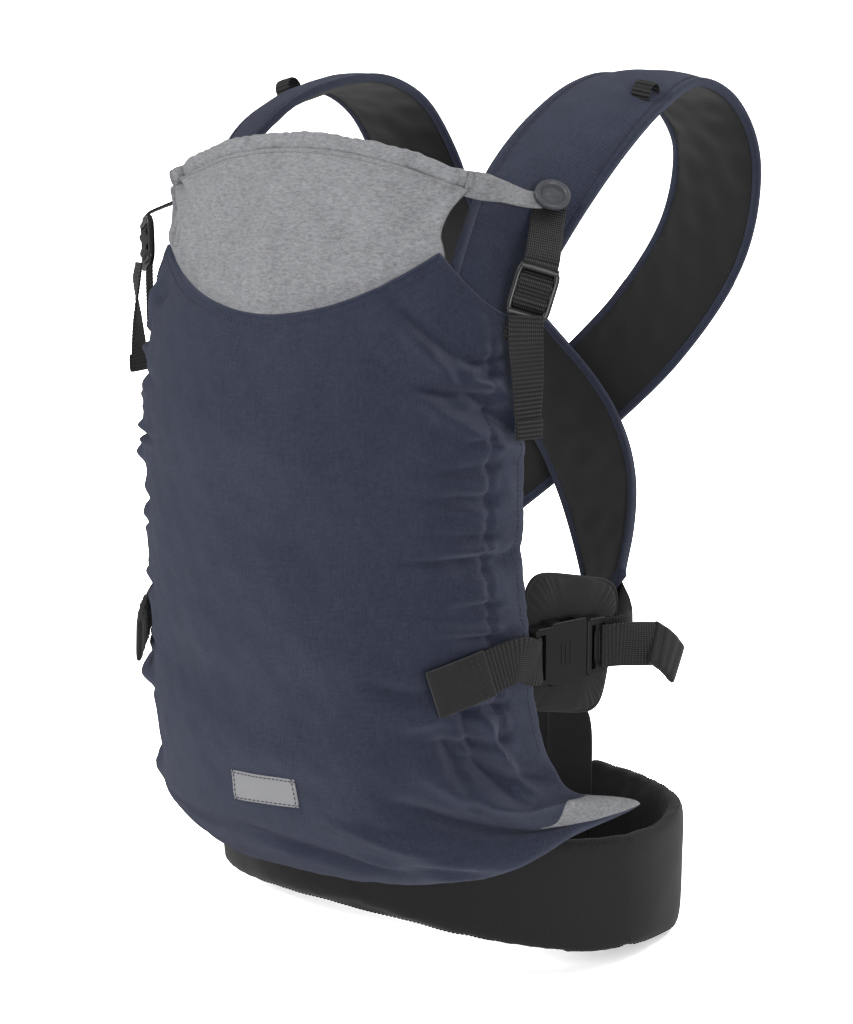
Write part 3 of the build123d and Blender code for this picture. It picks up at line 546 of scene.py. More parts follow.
def grey_jersey():
    """Melange jersey: pale cloth with darker fibre flecks drawn out along the knit, and a soft fuzz."""
    paint = Paint("grey_jersey", Sheen_Weight=0.4, Sheen_Roughness=0.6, Specular_IOR_Level=0.2)
    flecks = paint.noise(260.0, 4.0, 0.75, paint.stretched((1.0, 1.0, 2.6)))
    fibres = paint.noise(900.0, 3.0, 0.7, paint.stretched((1.0, 1.0, 3.0)))
    cloud = paint.noise(25.0, 3.0)
    paint.colour(flecks * 1.5 + fibres * 0.9 + cloud * 0.3 - 0.7, (0.08, 0.082, 0.09), (0.5, 0.505, 0.53))
    paint.rough(fibres * 0.1 + 0.84)
    return paint.bump(flecks * 0.4 + fibres * 0.8, 0.0006, 0.6)


navy = twill()
jersey = grey_jersey()
navy_thread = thread("navy_thread", (0.035, 0.04, 0.07))

# Height, half width, the side edge's y and the middle's y, from the seam under the pouch to above the
# shoulders.
pouch = mm * np.array([
    (62, 60, -97, -126), (68, 95, -91, -150), (76, 125, -82, -168), (88, 150, -72, -182),
    (101, 168, -60, -191), (112, 187, -9, -196), (128, 166, -54, -200), (152, 159, -77, -203),
    (185, 155, -90, -206), (245, 151, -98, -208), (312, 150, -104, -208), (382, 153, -107, -204),
    (432, 151, -106, -195), (486, 146, -101, -180), (546, 139, -90, -164), (590, 132, -78, -150),
])
panel_power = 2.2
neck_half_width, neck_corner_z, neck_dip = 119 * mm, 497 * mm, 41 * mm
top_half_width, shoulder_seam_x, shoulder_seam_z = 149 * mm, 156 * mm, 446 * mm
hem_angle = radians(73)

cloth_per_radian = 0.134  # metres of cloth in each radian round the pouch
crease_deepened, crease_narrowed = 1.7, 0.85

# Creases on the pouch: angle round it in degrees and height in mm at both ends, then width and depth in mm.
creases = [
    (40, 196, 84, 246, 8, 4.5), (34, 222, 70, 212, 8, -3.0), (50, 184, 86, 146, 8, -5.5),
    (46, 164, 86, 122, 9, 6.0), (36, 142, 82, 112, 8, -6.5), (18, 122, 76, 102, 8, 5.5),
    (-6, 108, 54, 92, 7, -5.0), (22, 98, 68, 93, 6, 4.0), (60, 214, 72, 132, 6, -4.0),
    (66, 208, 79, 140, 6, 4.5), (54, 196, 62, 120, 7, -3.0), (-60, 110, -12, 98, 8, -4.0),
    (-84, 128, -46, 112, 9, 5.0), (-88, 178, -56, 148, 9, -5.0), (-84, 216, -50, 190, 10, 4.0),
    (-88, 250, -58, 232, 9, -4.5), (40, 452, 84, 404, 7, 4.5), (34, 474, 74, 424, 6, -3.5),
    (52, 440, 88, 384, 7, -4.5), (30, 436, 80, 396, 8, -3.0), (44, 414, 88, 372, 7, 3.5),
    (-48, 474, -80, 404, 8, 3.5), (-42, 470, -72, 426, 7, -3.0), (-58, 334, -90, 322, 9, -5.5),
    (-60, 350, -88, 346, 8, 4.0), (58, 300, 90, 306, 8, -3.5), (10, 240, 60, 262, 22, 2.6),
    (-40, 226, 6, 214, 24, -2.4), (-10, 168, 40, 182, 20, 2.4), (0, 320, 56, 296, 26, -2.2),
    (-30, 400, 30, 372, 26, 2.0),
]


def crease_depth(angle, height):
    """Sum of the creases: each falls off as exp(-(distance/width)^2) from its bowed line and eases out at
    both ends. Pressed in, the folds are narrower and deeper than they were drawn."""
    u, v = angle * cloth_per_radian, height
    total = 0
    for start_angle, start_height, end_angle, end_height, width, depth in creases:
        start = np.array([radians(start_angle) * cloth_per_radian, start_height * mm])
        line = np.array([radians(end_angle) * cloth_per_radian, end_height * mm]) - start
        length = np.linalg.norm(line)
        line /= length
        along = ((u - start[0]) * line[0] + (v - start[1]) * line[1]) / length
        bow = 0.06 * length * np.sin(pi * np.clip(along, 0, 1))
        off = (v - start[1]) * line[0] - (u - start[0]) * line[1] + bow
        ends = ease(along, -0.15, 0.25) * (1 - ease(along, 0.75, 1.15))
        profile = np.exp(-((off / (crease_narrowed * width * mm)) ** 2))
        total = total + crease_deepened * depth * mm * ends * profile
    return total


def gather_depth(angle, height):
    """Puckers of the elastic hem: short grooves at uneven heights that start at the seam and die out
    inwards, soft rolls between them, and a pinch along the seam itself."""
    edge = np.abs(angle)
    total = 0
    for k in range(19):
        for lean, inside in ((0.4, angle > 0), (2.1, angle <= 0)):
            level = (176 + 14.4 * k + 5 * sin(k * 2.3 + lean * 4)) * mm
            reach = radians(26 + 12 * sin(k * 1.9 + lean * 7))
            droop = (hem_angle - edge) * (9 * sin(k * 1.3 + lean)) * mm
            share = ease(edge, hem_angle - reach, hem_angle - reach * 0.2)
            share = share * (1 - 0.9 * ease(edge, hem_angle, radians(79)))
            off = (height - level - droop) / ((3.2 + 0.9 * sin(k * 3.1 + lean)) * mm)
            depth = (4.2 + 1.5 * sin(k * 2.7 + lean * 5)) * mm
            groove, rolls = np.exp(-(off**2)), np.exp(-(((np.abs(off) - 2.1) / 1.1) ** 2))
            total = total - inside * share * depth * (groove - 0.5 * rolls)
    level_ends = ease(height, 160 * mm, 185 * mm) * (1 - ease(height, 430 * mm, 455 * mm))
    pinch = np.exp(-(((edge - hem_angle) / radians(1.7)) ** 2))
    return level_ends * (total - 2.0 * mm * pinch)


def pouch_face(angle, height, inset=0.0):
    """The smooth pouch under the folds: one superellipse per height, drawn from the stations."""
    half, edge, middle = np.moveaxis(through(height, pouch[:, 0], pouch[:, 1:]), -1, 0)
    s, c = np.sin(angle), np.cos(angle)
    x = (half - inset) * np.sign(s) * np.abs(s) ** (2 / panel_power)
    y = edge - (edge - middle - inset) * np.abs(c) ** (2 / panel_power)
    turned = np.clip((112 * mm - height) / (50 * mm), 0, 1)
    return np.stack([x, y, height + inset * turned], -1)


def panel_face(angle, height, inset=0.0, lift=0.0, folds=1.0):
    """The pouch with its creases, gathers and slack, each moved along the smooth pouch's own normal."""
    nudge = 0.004
    inner = np.clip(angle, nudge - pi / 2, pi / 2 - nudge)
    round_step = pouch_face(inner + nudge, height) - pouch_face(inner - nudge, height)
    up_step = pouch_face(inner, height + 0.5 * mm) - pouch_face(inner, height - 0.5 * mm)
    normal = unit(np.cross(round_step, up_step))
    girth = angle * cloth_per_radian
    slack = 1.6 * mm * rumple(girth, height, 95 * mm, 4) + 0.7 * mm * rumple(girth, height, 34 * mm, 8)
    depth = folds * (crease_depth(angle, height) + gather_depth(angle, height) + slack)
    return pouch_face(angle, height, inset) + normal * (depth + lift)[..., None]


def neck_height(x):
    """The neckline's dipped arc, carried on level beyond its corners."""
    radius = (neck_half_width**2 + neck_dip**2) / (2 * neck_dip)
    held = np.minimum(np.abs(x), neck_half_width)
    return neck_corner_z - neck_dip + radius - np.sqrt(radius**2 - held**2)


def neckline(angle):
    """Height of the panel's top edge: the arc between the shoulder seams, which then fall to the sides."""
    x = top_half_width * np.abs(np.sin(angle)) ** (2 / panel_power)
    seam = (neck_corner_z - shoulder_seam_z) / (shoulder_seam_x - neck_half_width)
    return neck_height(x) - seam * np.maximum(x - neck_half_width, 0)


def panel():
    """The twill, rolled in at the hems and filled between them, and the jersey that lines it. Both are
    grids over the angle round the pouch and the share of the way from the seam below to the neckline."""
    fine = np.linspace(-1, 1, 213) * radians(88.4)
    edge = radians(90) - radians(1.6) * (1 - np.array([0.35, 0.65, 0.85, 1.0]))
    angles = np.concatenate([-edge[::-1], fine, edge])
    rows = np.linspace(0, 1, 208)[:, None]
    heights = pouch[0, 0] + (neckline(angles) - pouch[0, 0]) * rows**0.92
    angles = np.broadcast_to(angles, heights.shape)
    from_edge = (pi / 2 - np.abs(angles)) * 110 * mm
    roll = 1.5 * mm * (1 - np.sqrt(1 - (1 - np.clip(from_edge / (3 * mm), 0, 1)) ** 2))
    filled = ease(from_edge, 2 * mm, 40 * mm)
    outer = panel_face(angles, heights, roll)
    inner = panel_face(angles, heights, 3.0 * mm - roll + 3.6 * mm * filled, folds=0.8)
    shell = skin("panel_twill", np.concatenate([outer, inner[:, ::-1]], 1), navy)
    outer = panel_face(angles, heights, 3.4 * mm + 3.5 * mm * filled, folds=0.8)
    inner = panel_face(angles, heights, 4.8 * mm + 3.5 * mm * filled, folds=0.8)
    lining = skin("panel_jersey", np.concatenate([outer, inner[:, ::-1]], 1), jersey)
    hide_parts("panel_shell", "panel_padding", "side_elastics")
    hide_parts("panel_lining")
    for piece in (shell, lining):
        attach(piece, "carrier")


def hip_turnover(side_name, side):
    """At each hip the hem turns over on to the belt, so that its grey jersey lies uppermost."""
    angle = np.linspace(radians(66), radians(89.3), 60)[None]
    low = 113.6 * mm + 5 * mm * (1 - ease(angle, radians(66), radians(84)))
    high = low + 0.6 * mm + 12 * mm * ease(angle, radians(67), radians(82))
    height = low + (high - low) * np.linspace(0, 1, 14)[:, None]
    angle = side * np.broadcast_to(angle, height.shape)
    top, under = panel_face(angle, height, lift=0.9 * mm), panel_face(angle, height, lift=-0.4 * mm)
    piece = skin(f"hip_turnover_{side_name}", np.concatenate([top, under[:, ::-1]], 1), jersey)
    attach(piece, "carrier")


def sewn(name, angle, height):
    """A row of stitches along a line on the panel, each facing out from it."""
    path = panel_face(angle, height, lift=0.1 * mm)
    out = unit(path - panel_face(angle, height, lift=-2 * mm))
    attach(stitches(name, path, out, navy_thread), "carrier")


def panel_trim():
    """The bound neckline, the two rows on each side hem and the row under the neckline."""
    angles = np.linspace(-1, 1, 240) * radians(89.6)
    path = panel_face(angles, neckline(angles), 3.2 * mm, folds=0.9)
    out = unit(path * [1, 1, 0] - [0, 60 * mm, 0])
    binding = skin("neckline_binding", carried(path, out, oval(1.7 * mm, 3.8 * mm, 2.4, 16)), navy)
    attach(binding, "carrier")
    heights = np.linspace(168 * mm, 448 * mm, 400)
    for side_name, side in sides.items():
        for name, angle in (("hem", hem_angle), ("edge", radians(86.5))):
            sewn(f"{name}_stitches_{side_name}", np.full(400, side * angle), heights)
    angles = np.linspace(-1, 1, 400) * radians(86)
    sewn("neck_stitches", angles, neckline(angles) - 5 * mm)


panel()
panel_trim()
for side_name, side in sides.items():
    hip_turnover(side_name, side)


# ---- Care label ------------------------------------------------------------------------------------------
# A small woven label in mid grey, folded under at its ends and sewn flat near the bottom of the pouch. It
# is plain, with a fine ribbed ground and a narrow border.
def label_cloth():
    """Ribbed label weave in two greys."""
    paint = Paint("label_weave", Sheen_Weight=0.3, Specular_IOR_Level=0.35)
    across, along = paint.across_and_along()
    ribs = (along * (2 * pi / (0.7 * mm))).wave() * 0.5 + 0.5
    grain = paint.noise(1400.0, 2.0, 0.7)
    paint.colour(ribs * 0.4 + grain * 0.6, (0.34, 0.34, 0.36), (0.66, 0.665, 0.69))
    paint.rough(grain * 0.15 + 0.6)
    return paint.bump(ribs, 0.0003, 0.7)


def panel_angle(x, height):
    """Angle round the pouch at which its face has this x."""
    half = through(height, pouch[:, 0], pouch[:, 1:2])[..., 0]
    return np.sign(x) * np.arcsin(np.clip(np.abs(x / half), 0, 1) ** (panel_power / 2))


def label():
    """The label follows the panel's face, sewn on a little out of level, with a border of stitches."""
    low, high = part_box("care_label")

    def place(x, z, lift):
        level = z + (x - (low.x + high.x) / 2) * 0.05
        return panel_face(panel_angle(x, z), level, lift=lift)

    x, z = np.meshgrid(np.linspace(low.x, high.x, 60), np.linspace(low.z, high.z, 26))
    top, back = place(x, z, 1.3 * mm), place(x, z, 0.3 * mm)
    piece = skin("label_cloth", np.concatenate([top, back[:, ::-1]], 1), label_cloth())
    u = np.linspace(0, 1, 60)
    edges = {"top": (u, 0.93), "bottom": (u, 0.07), "left": (0.035, u), "right": (0.965, u)}
    for name, (across, up) in edges.items():
        across, up = np.broadcast_arrays(across, up)
        path = place(low.x + across * (high.x - low.x), low.z + up * (high.z - low.z), 1.35 * mm)
        sewing = black_thread if name in ("left", "right") else navy_thread
        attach(stitches(f"label_{name}_stitches", path, (0.0, -1, 0), sewing), "carrier")
    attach(piece, "carrier")
    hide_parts("care_label")


label()


# ---- Hood ------------------------------------------------------------------------------------------------
# One piece of doubled melange jersey sewn in behind the neckline. It stands up in an arch, its top turned
# into a hem for a draw elastic, and its corners run out as ears to the press-stud caps on the straps.
hood_corner_x, hood_corner_z, hood_rise = 124 * mm, 547 * mm, 26 * mm
hem_height = 9 * mm
hood_inset, hood_thickness = 1.6 * mm, 3.0 * mm


def hood_face(x, height, inset):
    """Behind the panel's face: the same superellipse, with the jersey's slack, gathers at its foot and soft
    bulge."""
    half, edge, middle = np.moveaxis(through(height, pouch[:, 0], pouch[:, 1:]), -1, 0)
    share = np.clip(np.abs(x / (half - inset)), 0, 0.9999) ** panel_power
    y = edge - (edge - middle - inset) * (1 - share) ** (1 / panel_power)
    above = height - neck_height(x)
    clear = ease(above, 2 * mm, 16 * mm)
    pleats = np.abs(np.sin(x * 250 + 1.3 * np.sin(x * 57) + above * 9)) ** 0.8 - 0.6
    foot = clear * (1 - ease(above, 14 * mm, 52 * mm)) * (0.3 + 0.7 * ease(-x, 0, 80 * mm))
    slack = 3.4 * mm * rumple(x, height, 74 * mm, 6) + 1.6 * mm * rumple(x, height, 30 * mm, 3)
    from_corner = np.hypot(np.abs(x) - hood_corner_x, height - hood_corner_z)
    bearing = np.arctan2(hood_corner_z - height, hood_corner_x - np.abs(x))
    hand = np.sign(x)
    drawn = np.exp(-from_corner / (34 * mm)) * np.sin(bearing * 11 + hand) * (4.2 - 1.4 * hand) * mm
    bulge = 4 * mm * (1 - ease(height, 530 * mm, 570 * mm))
    y = y - clear * (slack + drawn + bulge) - foot * pleats * 4 * mm + 1.2 * mm * (1 - clear)
    return np.stack([x, y, height], -1)


def hood_top(x, corner):
    """The arched top: corner height plus rise times 1 - (x/corner x)^2."""
    return corner + hood_rise * (1 - np.clip(x / hood_corner_x, -1, 1) ** 2)


def hood():
    """The flap: a grid from behind the neckline up to the hem, widening towards its corners and a little
    waisted."""
    share = np.linspace(-1, 1, 121)[None]
    rows = np.linspace(0, 1, 80)[:, None]
    foot_x = share * (neck_half_width - 3 * mm)
    foot = neck_height(foot_x) - 4 * mm
    top = hood_top(share * hood_corner_x, hood_corner_z - hem_height)
    x = foot_x + (share * (hood_corner_x - 1 * mm) - foot_x) * rows
    x = x - np.sign(share) * 5 * mm * np.sin(pi * rows) * np.abs(share) ** 8
    height = foot + (top - foot) * rows
    outer = hood_face(x, height, hood_inset)
    inner = hood_face(x, height, hood_inset + hood_thickness)
    piece = skin("hood_jersey", np.concatenate([outer, inner[:, ::-1]], 1), jersey)
    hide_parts("hood_base", "hood_flap")
    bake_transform(piece)


def hood_edge():
    """The hem: a flattened tube of jersey along the arch, puckered by its elastic, with a row of stitches
    under it."""
    x = np.linspace(-1, 1, 260) * (hood_corner_x + 0.5 * mm)
    middle = hood_top(x, hood_corner_z - hem_height / 2) + 0.8 * mm * rumple(x, x, 40 * mm, 5)
    path = hood_face(x, middle, hood_inset + hood_thickness / 2)
    face = unit(hood_face(x, middle, 0) - hood_face(x, middle, 4 * mm))
    pucker = 1 + 0.05 * np.sin(x * 620 + 2 * np.sin(x * 150)) + 0.06 * np.sin(x * 97)
    outline = oval(5.6 * mm, 3.0 * mm, 2.6, 20) * pucker[:, None, None]
    piece = skin("hood_hem_jersey", carried(path, face, outline), jersey)
    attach(piece, "hood")
    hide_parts("hood_hem")
    grey_thread = thread("grey_thread", (0.34, 0.343, 0.36))
    inside = x[6:-6]
    level = hood_top(inside, hood_corner_z - hem_height / 2) - 7.2 * mm
    sewing = hood_face(inside, level, hood_inset - 0.1 * mm)
    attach(stitches("hood_stitches", sewing, face[6:-6], grey_thread, 2.8 * mm), "hood")


hood()
hood_edge()


# ---- Shoulder straps -------------------------------------------------------------------------------------
# Foam straps with a navy twill cover outside, black lining against the body and a turned binding over each
# long edge, sewn through just inside it. They run over the shoulders and cross behind.
def strap_lining_cloth():
    """Smooth black lining: tight plain weave, softly creased, with a faint sheen."""
    paint = Paint("strap_lining_cloth", Sheen_Weight=0.3, Specular_IOR_Level=0.3)
    across, along = paint.across_and_along()
    cells = (across * (2 * pi / (1.1 * mm))).wave() * (along * (2 * pi / (1.1 * mm))).wave()
    grain = paint.noise(700.0, 3.0, 0.7)
    paint.colour(cells * 0.2 + grain * 0.8, (0.012, 0.012, 0.013), (0.036, 0.036, 0.038))
    paint.rough(grain * 0.15 + 0.72)
    return paint.bump(cells * 0.5 + grain, 0.0004, 0.5)


strap_route = [
    (131, -131, 460), (132, -116, 484), (130, -92, 505), (128, -54, 539), (129, -8, 573), (131, 42, 600),
    (134, 90, 612), (139, 140, 597), (137, 177, 556), (114, 194, 492), (64, 196, 424), (0, 194, 362),
    (-30, 184, 328), (-57, 159, 297), (-84, 120, 262), (-104, 80, 236),
]
strap_outward = [
    (0.88, -0.24, 0.4), (0.87, -0.25, 0.41), (0.75, -0.4, 0.5), (0.55, -0.5, 0.67), (0.35, -0.4, 0.85),
    (0.2, -0.2, 0.96), (0.08, 0.15, 0.98), (0.1, 0.6, 0.8), (0.15, 0.87, 0.45), (0.05, 0.97, 0.2),
    (0, 1, 0.05), (0, 1, -0.05), (-0.05, 0.97, -0.2), (-0.2, 0.93, -0.3), (-0.4, 0.88, -0.25),
    (-0.5, 0.85, -0.2),
]
strap_widths = [52, 56, 62, 68, 72, 74, 74, 74, 74, 74, 74, 74, 73, 70, 64, 54]
# Where the straps cross, the right one passes outside the left one, and the left one stands a little wider.
crossing_share = [0, 0, 0, 0, 0, 0, 0, 0, 0.2, 0.6, 1, 1, 1, 0.8, 0.4, 0]
crossing_step = 10.2
left_stance = [(0, 0, 0), (0, 0, 0), (4, -3, 4), (8, -6, 12), (10, -5, 15), (7, -2, 8), (3, 0, 2)]
lining_cloth = strap_lining_cloth()
strap_runs = {}


def strap_run(side_name, side):
    """The strap's middle line, outward direction and width, smoothed through its stations every 3 mm."""
    route = np.array(strap_route, float)
    route[:, 1] += side * crossing_step * np.array(crossing_share)
    if side_name == "left":
        route[: len(left_stance)] += left_stance
    knots = np.arange(len(route))
    outward = np.array(strap_outward) * [side, 1, 1]
    rows = np.column_stack([route * [side, 1, 1] * mm, outward, np.array(strap_widths) * mm])
    fine = through(np.linspace(0, len(route) - 1, 900), knots, rows)
    fine = at(evenly(fine[:, :3], 3 * mm), fine)
    return fine[:, :3], unit(fine[:, 3:6]), fine[:, 6]


def half_pad(half, high, share, seed, ripple):
    """Outline of one half of the pad: a crowned face y = edge + crown (1 - |x/w|^2.6) and a flat back."""
    x = np.concatenate([np.linspace(-1, 1, 30), np.linspace(1, -1, 30)])
    crown = high * (1.9 * mm + share * (1 - np.abs(x[:30]) ** 2.6))
    along = np.arange(len(half)) * 3 * mm
    wave = ripple * rumple(half[:, None] * x[:30], along[:, None], 42 * mm, seed) * (1 - np.abs(x[:30]) ** 8)
    pucker = 0.35 * mm * np.sin(along * 700)[:, None] * np.abs(x[:30]) ** 6
    face = crown + high * (wave + pucker)
    y = np.concatenate([face, np.full_like(face, high * 0.1 * mm)], 1)
    return np.stack([half[:, None] * x, y], -1)


def strap(side_name, side):
    """A pad in two halves, cover and lining, with a binding over each long edge and over the lower end, and
    a row of stitches inside each long binding on both faces."""
    path, out, width = strap_run(side_name, side)
    strap_runs[side_name] = path, out, width
    inner = width / 2 - 2.6 * mm
    cover_half = half_pad(inner, 1, 5.0 * mm, 3 + side, 0.6 * mm)
    lining_half = half_pad(inner, -1, 3.4 * mm, 7 + side, 1.6 * mm)
    pad = skin(f"strap_twill_{side_name}", carried(path, out, cover_half), navy)
    lining = skin(f"strap_inside_{side_name}", carried(path, out, lining_half), lining_cloth)
    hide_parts(f"strap_cover_{side_name}", f"strap_foam_{side_name}")
    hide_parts(f"strap_lining_{side_name}")
    run, across, up = axes(path, out)
    folded = oval(3.2 * mm, 3.3 * mm, 2.6, 18)
    for edge_name, edge in (("outer", 1), ("inner", -1)):
        line = path + across * (edge * (width / 2 - 1.6 * mm))[:, None]
        bound = skin(f"strap_binding_{edge_name}_{side_name}", carried(line, out, folded), navy)
        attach(bound, "carrier")
        if edge == 1:
            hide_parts(f"strap_binding_{side_name}")
        inside = path + across * (edge * (width / 2 - 5.6 * mm))[:, None]
        for face_name, facing, height, sewing in (
            ("cover", 1, 3.1 * mm, navy_thread),
            ("lining", -1, 2.8 * mm, black_thread),
        ):
            name = f"strap_{face_name}_stitches_{edge_name}_{side_name}"
            row = stitches(name, inside + up * facing * height, up * facing, sewing, lift=0.1 * mm)
            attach(row, "carrier")
    # A third binding closes the lower end, under the webbing that is sewn to it.
    line = path[-1] + np.linspace(-0.5, 0.5, 24)[:, None] * width[-1] * across[-1]
    folded = oval(4.5 * mm, 3.6 * mm, 2.6, 18)
    closing = skin(f"strap_binding_end_{side_name}", carried(line, out[-1], folded), navy)
    for piece in (pad, lining, closing):
        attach(piece, "carrier")


for side_name, side in sides.items():
    strap(side_name, side)


# ---- Webbing ---------------------------------------------------------------------------------------------
# All webbing is black polyester woven with a ribbed face: about 2.8 mm from rib to rib, each rib a row of
# small knuckles. Loose ends are folded over and closed in a sewn cap of canvas.
def webbing_cloth():
    """Ribbed polyester webbing: black, with its knuckle tops painted paler as a highlight."""
    rib_pitch, knuckle_pitch = 2.8 * mm, 1.3 * mm
    paint = Paint("webbing_cloth", Specular_IOR_Level=0.4, Sheen_Weight=0.05)
    across, along = paint.across_and_along()
    knuckles = (across * (2 * pi / knuckle_pitch)).wave() * 0.5 + 0.5
    ribs = (along * (2 * pi / rib_pitch)).wave() * 0.5 + 0.5
    fibres = paint.noise(1800.0, 2.0, 0.7)
    # The colour rises from black to pale grey on the knuckle tops, which is a painted highlight. The fibre
    # specks are the cloth's own.
    paint.colour((knuckles * ribs) * 1.0 + fibres * 0.25 - 0.15, (0.004, 0.004, 0.005), (0.095, 0.093, 0.097))
    paint.rough(fibres * 0.2 + 0.42)
    return paint.bump(knuckles * ribs + fibres * 0.25, 0.0006, 0.9)


web_cloth = webbing_cloth()


def laid(points, outward, spacing=0.7 * mm):
    """A listed route, smoothed and stepped evenly, with its outward directions."""
    rows = np.column_stack([np.array(points, float), np.array(outward, float)])
    fine = through(np.linspace(0, len(rows) - 1, 60 * len(rows)), np.arange(len(rows)), rows)
    fine = at(evenly(fine[:, :3], spacing), fine)
    return fine[:, :3], unit(fine[:, 3:])


def web(name, points, outward, width, thickness=1.7 * mm, body="carrier"):
    """Webbing along a route: a flat outline that swells 20 percent on each rib."""
    path, out = laid(points, outward)
    swell = 1 + 0.2 * np.sin(np.arange(len(path)) * 2 * pi * 0.7 / 2.8)
    swell = np.stack([np.ones_like(swell), swell], -1)[:, None]
    outline = oval(width / 2, thickness / 2, 5, 20)[None] * swell
    piece = skin(name, carried(path, out, outline), web_cloth)
    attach(piece, body)
    return piece


def end_cap(name, points, outward, width, body):
    """The sewn canvas cap on a loose end: a flat sleeve, puffed at its middle, with two rows of stitches
    across."""
    path, out = laid(points, outward, 1.2 * mm)
    share = np.linspace(0, 1, len(path))
    thick = (1.6 + 0.9 * np.sin(pi * share) ** 0.5 + 0.25 * np.sin(share * 23)) * mm
    outline = oval(1, 1, 6, 28) * np.stack([np.full_like(thick, width / 2 + 0.8 * mm), thick], -1)[:, None]
    piece = skin(name, carried(path, out, outline), canvas)
    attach(piece, body)
    run, across, up = axes(path, out)
    for k, place in enumerate((0.16, 0.3)):
        spot = int(place * (len(path) - 1))
        line = path[spot] + np.linspace(-0.44, 0.44, 40)[:, None] * width * across[spot]
        for face, facing in (("f", 1), ("b", -1)):
            row = line + up[spot] * facing * (thick[spot] + 0.05 * mm)
            row = stitches(f"{name}_stitches_{k}{face}", row, up[spot] * facing, black_thread)
            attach(row, body)


# ---- Strap loops -----------------------------------------------------------------------------------------
# A short piece of flat black elastic, folded to a loop and sewn to each strap near the top of the shoulder,
# for a soother clip.
def strap_loop(side_name, side):
    """Elastic bent to a half round that stands on the strap's outer half, near its highest point."""
    path, out, _ = strap_runs[side_name]
    station = int(np.argmin(np.abs(path[:, 1] - (42 * mm if side > 0 else 40 * mm)) + (path[:, 2] < 0.55)))
    run = unit(path[station + 1] - path[station - 1])
    across = unit(np.cross(out[station], run))
    up = np.cross(run, across)
    outer = side if across[0] > 0 else -side
    foot = path[station] + across * outer * 22 * mm + up * 6.2 * mm
    angle = np.linspace(-0.25, pi + 0.25, 9)
    arch = foot + np.cos(angle)[:, None] * run * 7 * mm + np.sin(angle)[:, None] * up * 7.5 * mm
    away = np.cos(angle)[:, None] * run + np.sin(angle)[:, None] * up
    return web(f"strap_loop_{side_name}", arch, away, 14 * mm, 1.5 * mm)


loops = {side_name: strap_loop(side_name, side) for side_name, side in sides.items()}
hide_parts("strap_loops")


# ---- Press-stud caps and hood ears -----------------------------------------------------------------------
# Dark grey moulded caps with a raised rim, a groove and a plain dished middle. One holds each hood ear to
# its strap, and a third on the belt takes the folded-down panel.
def cap_plastic():
    """Dark grey moulded plastic with a fine matt grain."""
    paint = Paint("button_plastic", Specular_IOR_Level=0.5, Coat_Weight=0.15, Coat_Roughness=0.35)
    grain = paint.noise(1200.0, 3.0, 0.6)
    wear = paint.noise(60.0, 3.0)
    paint.colour(wear * 0.7 + grain * 0.3, (0.06, 0.063, 0.072), (0.15, 0.157, 0.178))
    paint.rough(grain * 0.15 + 0.38)
    return paint.bump(grain, 0.0002, 0.4)


button_plastic = cap_plastic()


def snap(name, node, body, facing):
    """A turned cap: radius and height in mm from the middle of the face out over the rim and under."""
    lathe = mm * np.array([
        (0.15, 1.3), (3.2, 1.25), (3.5, 1.7), (4.1, 1.75), (4.5, 1.2), (7.4, 1.15), (7.9, 0.75),
        (8.5, 0.72), (8.9, 1.9), (9.8, 2.4), (10.9, 2.2), (11.7, 1.5), (12.0, 0.4), (12.0, -1.2),
        (11.6, -2.0), (10.4, -2.4), (0.15, -2.4),
    ])
    co = np.array([v.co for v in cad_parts[node].data.vertices])
    low, high = co.min(0), co.max(0)
    centre = (low + high) / 2
    axis = np.linalg.svd(co - co.mean(0), full_matrices=False)[2][2]
    axis = axis * np.sign(axis @ facing)
    side_way = unit(np.cross(axis, (0, 0, 1.0)))
    up = np.cross(side_way, axis)
    angle = (np.arange(64) + 0.5) / 64 * 2 * pi
    wheel = np.cos(angle)[:, None] * side_way + np.sin(angle)[:, None] * up
    piece = skin(name, centre + lathe[:, :1, None] * wheel + lathe[:, 1:, None] * axis, button_plastic)
    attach(piece, body)
    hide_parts(node)
    return centre, axis


caps = {
    name: snap(f"cap_{name}", f"snap_cap_{name}", "hood", (side, -1.0, 0.3)) for name, side in sides.items()
}
snap("cap_belt", "belt_button", "carrier", (0, -1.0, 0))


def dress(plastic, *nodes):
    """Gives moulded parts that keep their own shape another plastic."""
    for node in nodes:
        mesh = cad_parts[node].data
        mesh.materials.clear()
        mesh.materials.append(plastic)


dress(button_plastic, "snap_studs")


def ear(side_name, side):
    """A flattened, slightly twisted sleeve of jersey from the hood's corner to under the cap."""
    centre, axis = caps[side_name]
    seat = centre - axis * 3.3 * mm
    start = np.array([side * (hood_corner_x - 8 * mm), -128 * mm, hood_corner_z - 5 * mm])
    toward = unit(seat - start - axis * ((seat - start) @ axis))
    flat = seat - toward * 13 * mm
    middle = (start + flat) / 2 + np.array([side * 3, -4, 1]) * mm
    first = np.array([side * 0.6, -0.75, 0.25])
    route = [start, (start + middle) / 2, middle, flat, seat + toward * 6 * mm]
    path, out = laid(route, [first, first, (first + axis) / 2, axis, axis], 1.2 * mm)
    share = np.linspace(0, 1, len(path))
    half = through(share, [0, 0.25, 0.55, 0.8, 1], np.array([[8], [9], [7.5], [7], [6.5]]) * mm)
    thick = through(share, [0, 0.3, 0.6, 0.8, 1], np.array([[2.6], [3.0], [2.6], [1.2], [0.9]]) * mm)
    outline = oval(1, 1, 2.6, 32) * np.concatenate([half, thick], -1)[:, None]
    angle = (np.arange(32) + 0.5) / 32 * 2 * pi
    folds = 0.55 * mm * np.sin(angle * 5 + share[:, None] * 9) * ease(1 - share, 0.15, 0.5)[:, None]
    outline[..., 1] += folds
    piece = skin(f"ear_jersey_{side_name}", carried(path, out, outline), jersey)
    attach(piece, "hood")
    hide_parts(f"hood_ear_{side_name}")


for side_name, side in sides.items():
    ear(side_name, side)


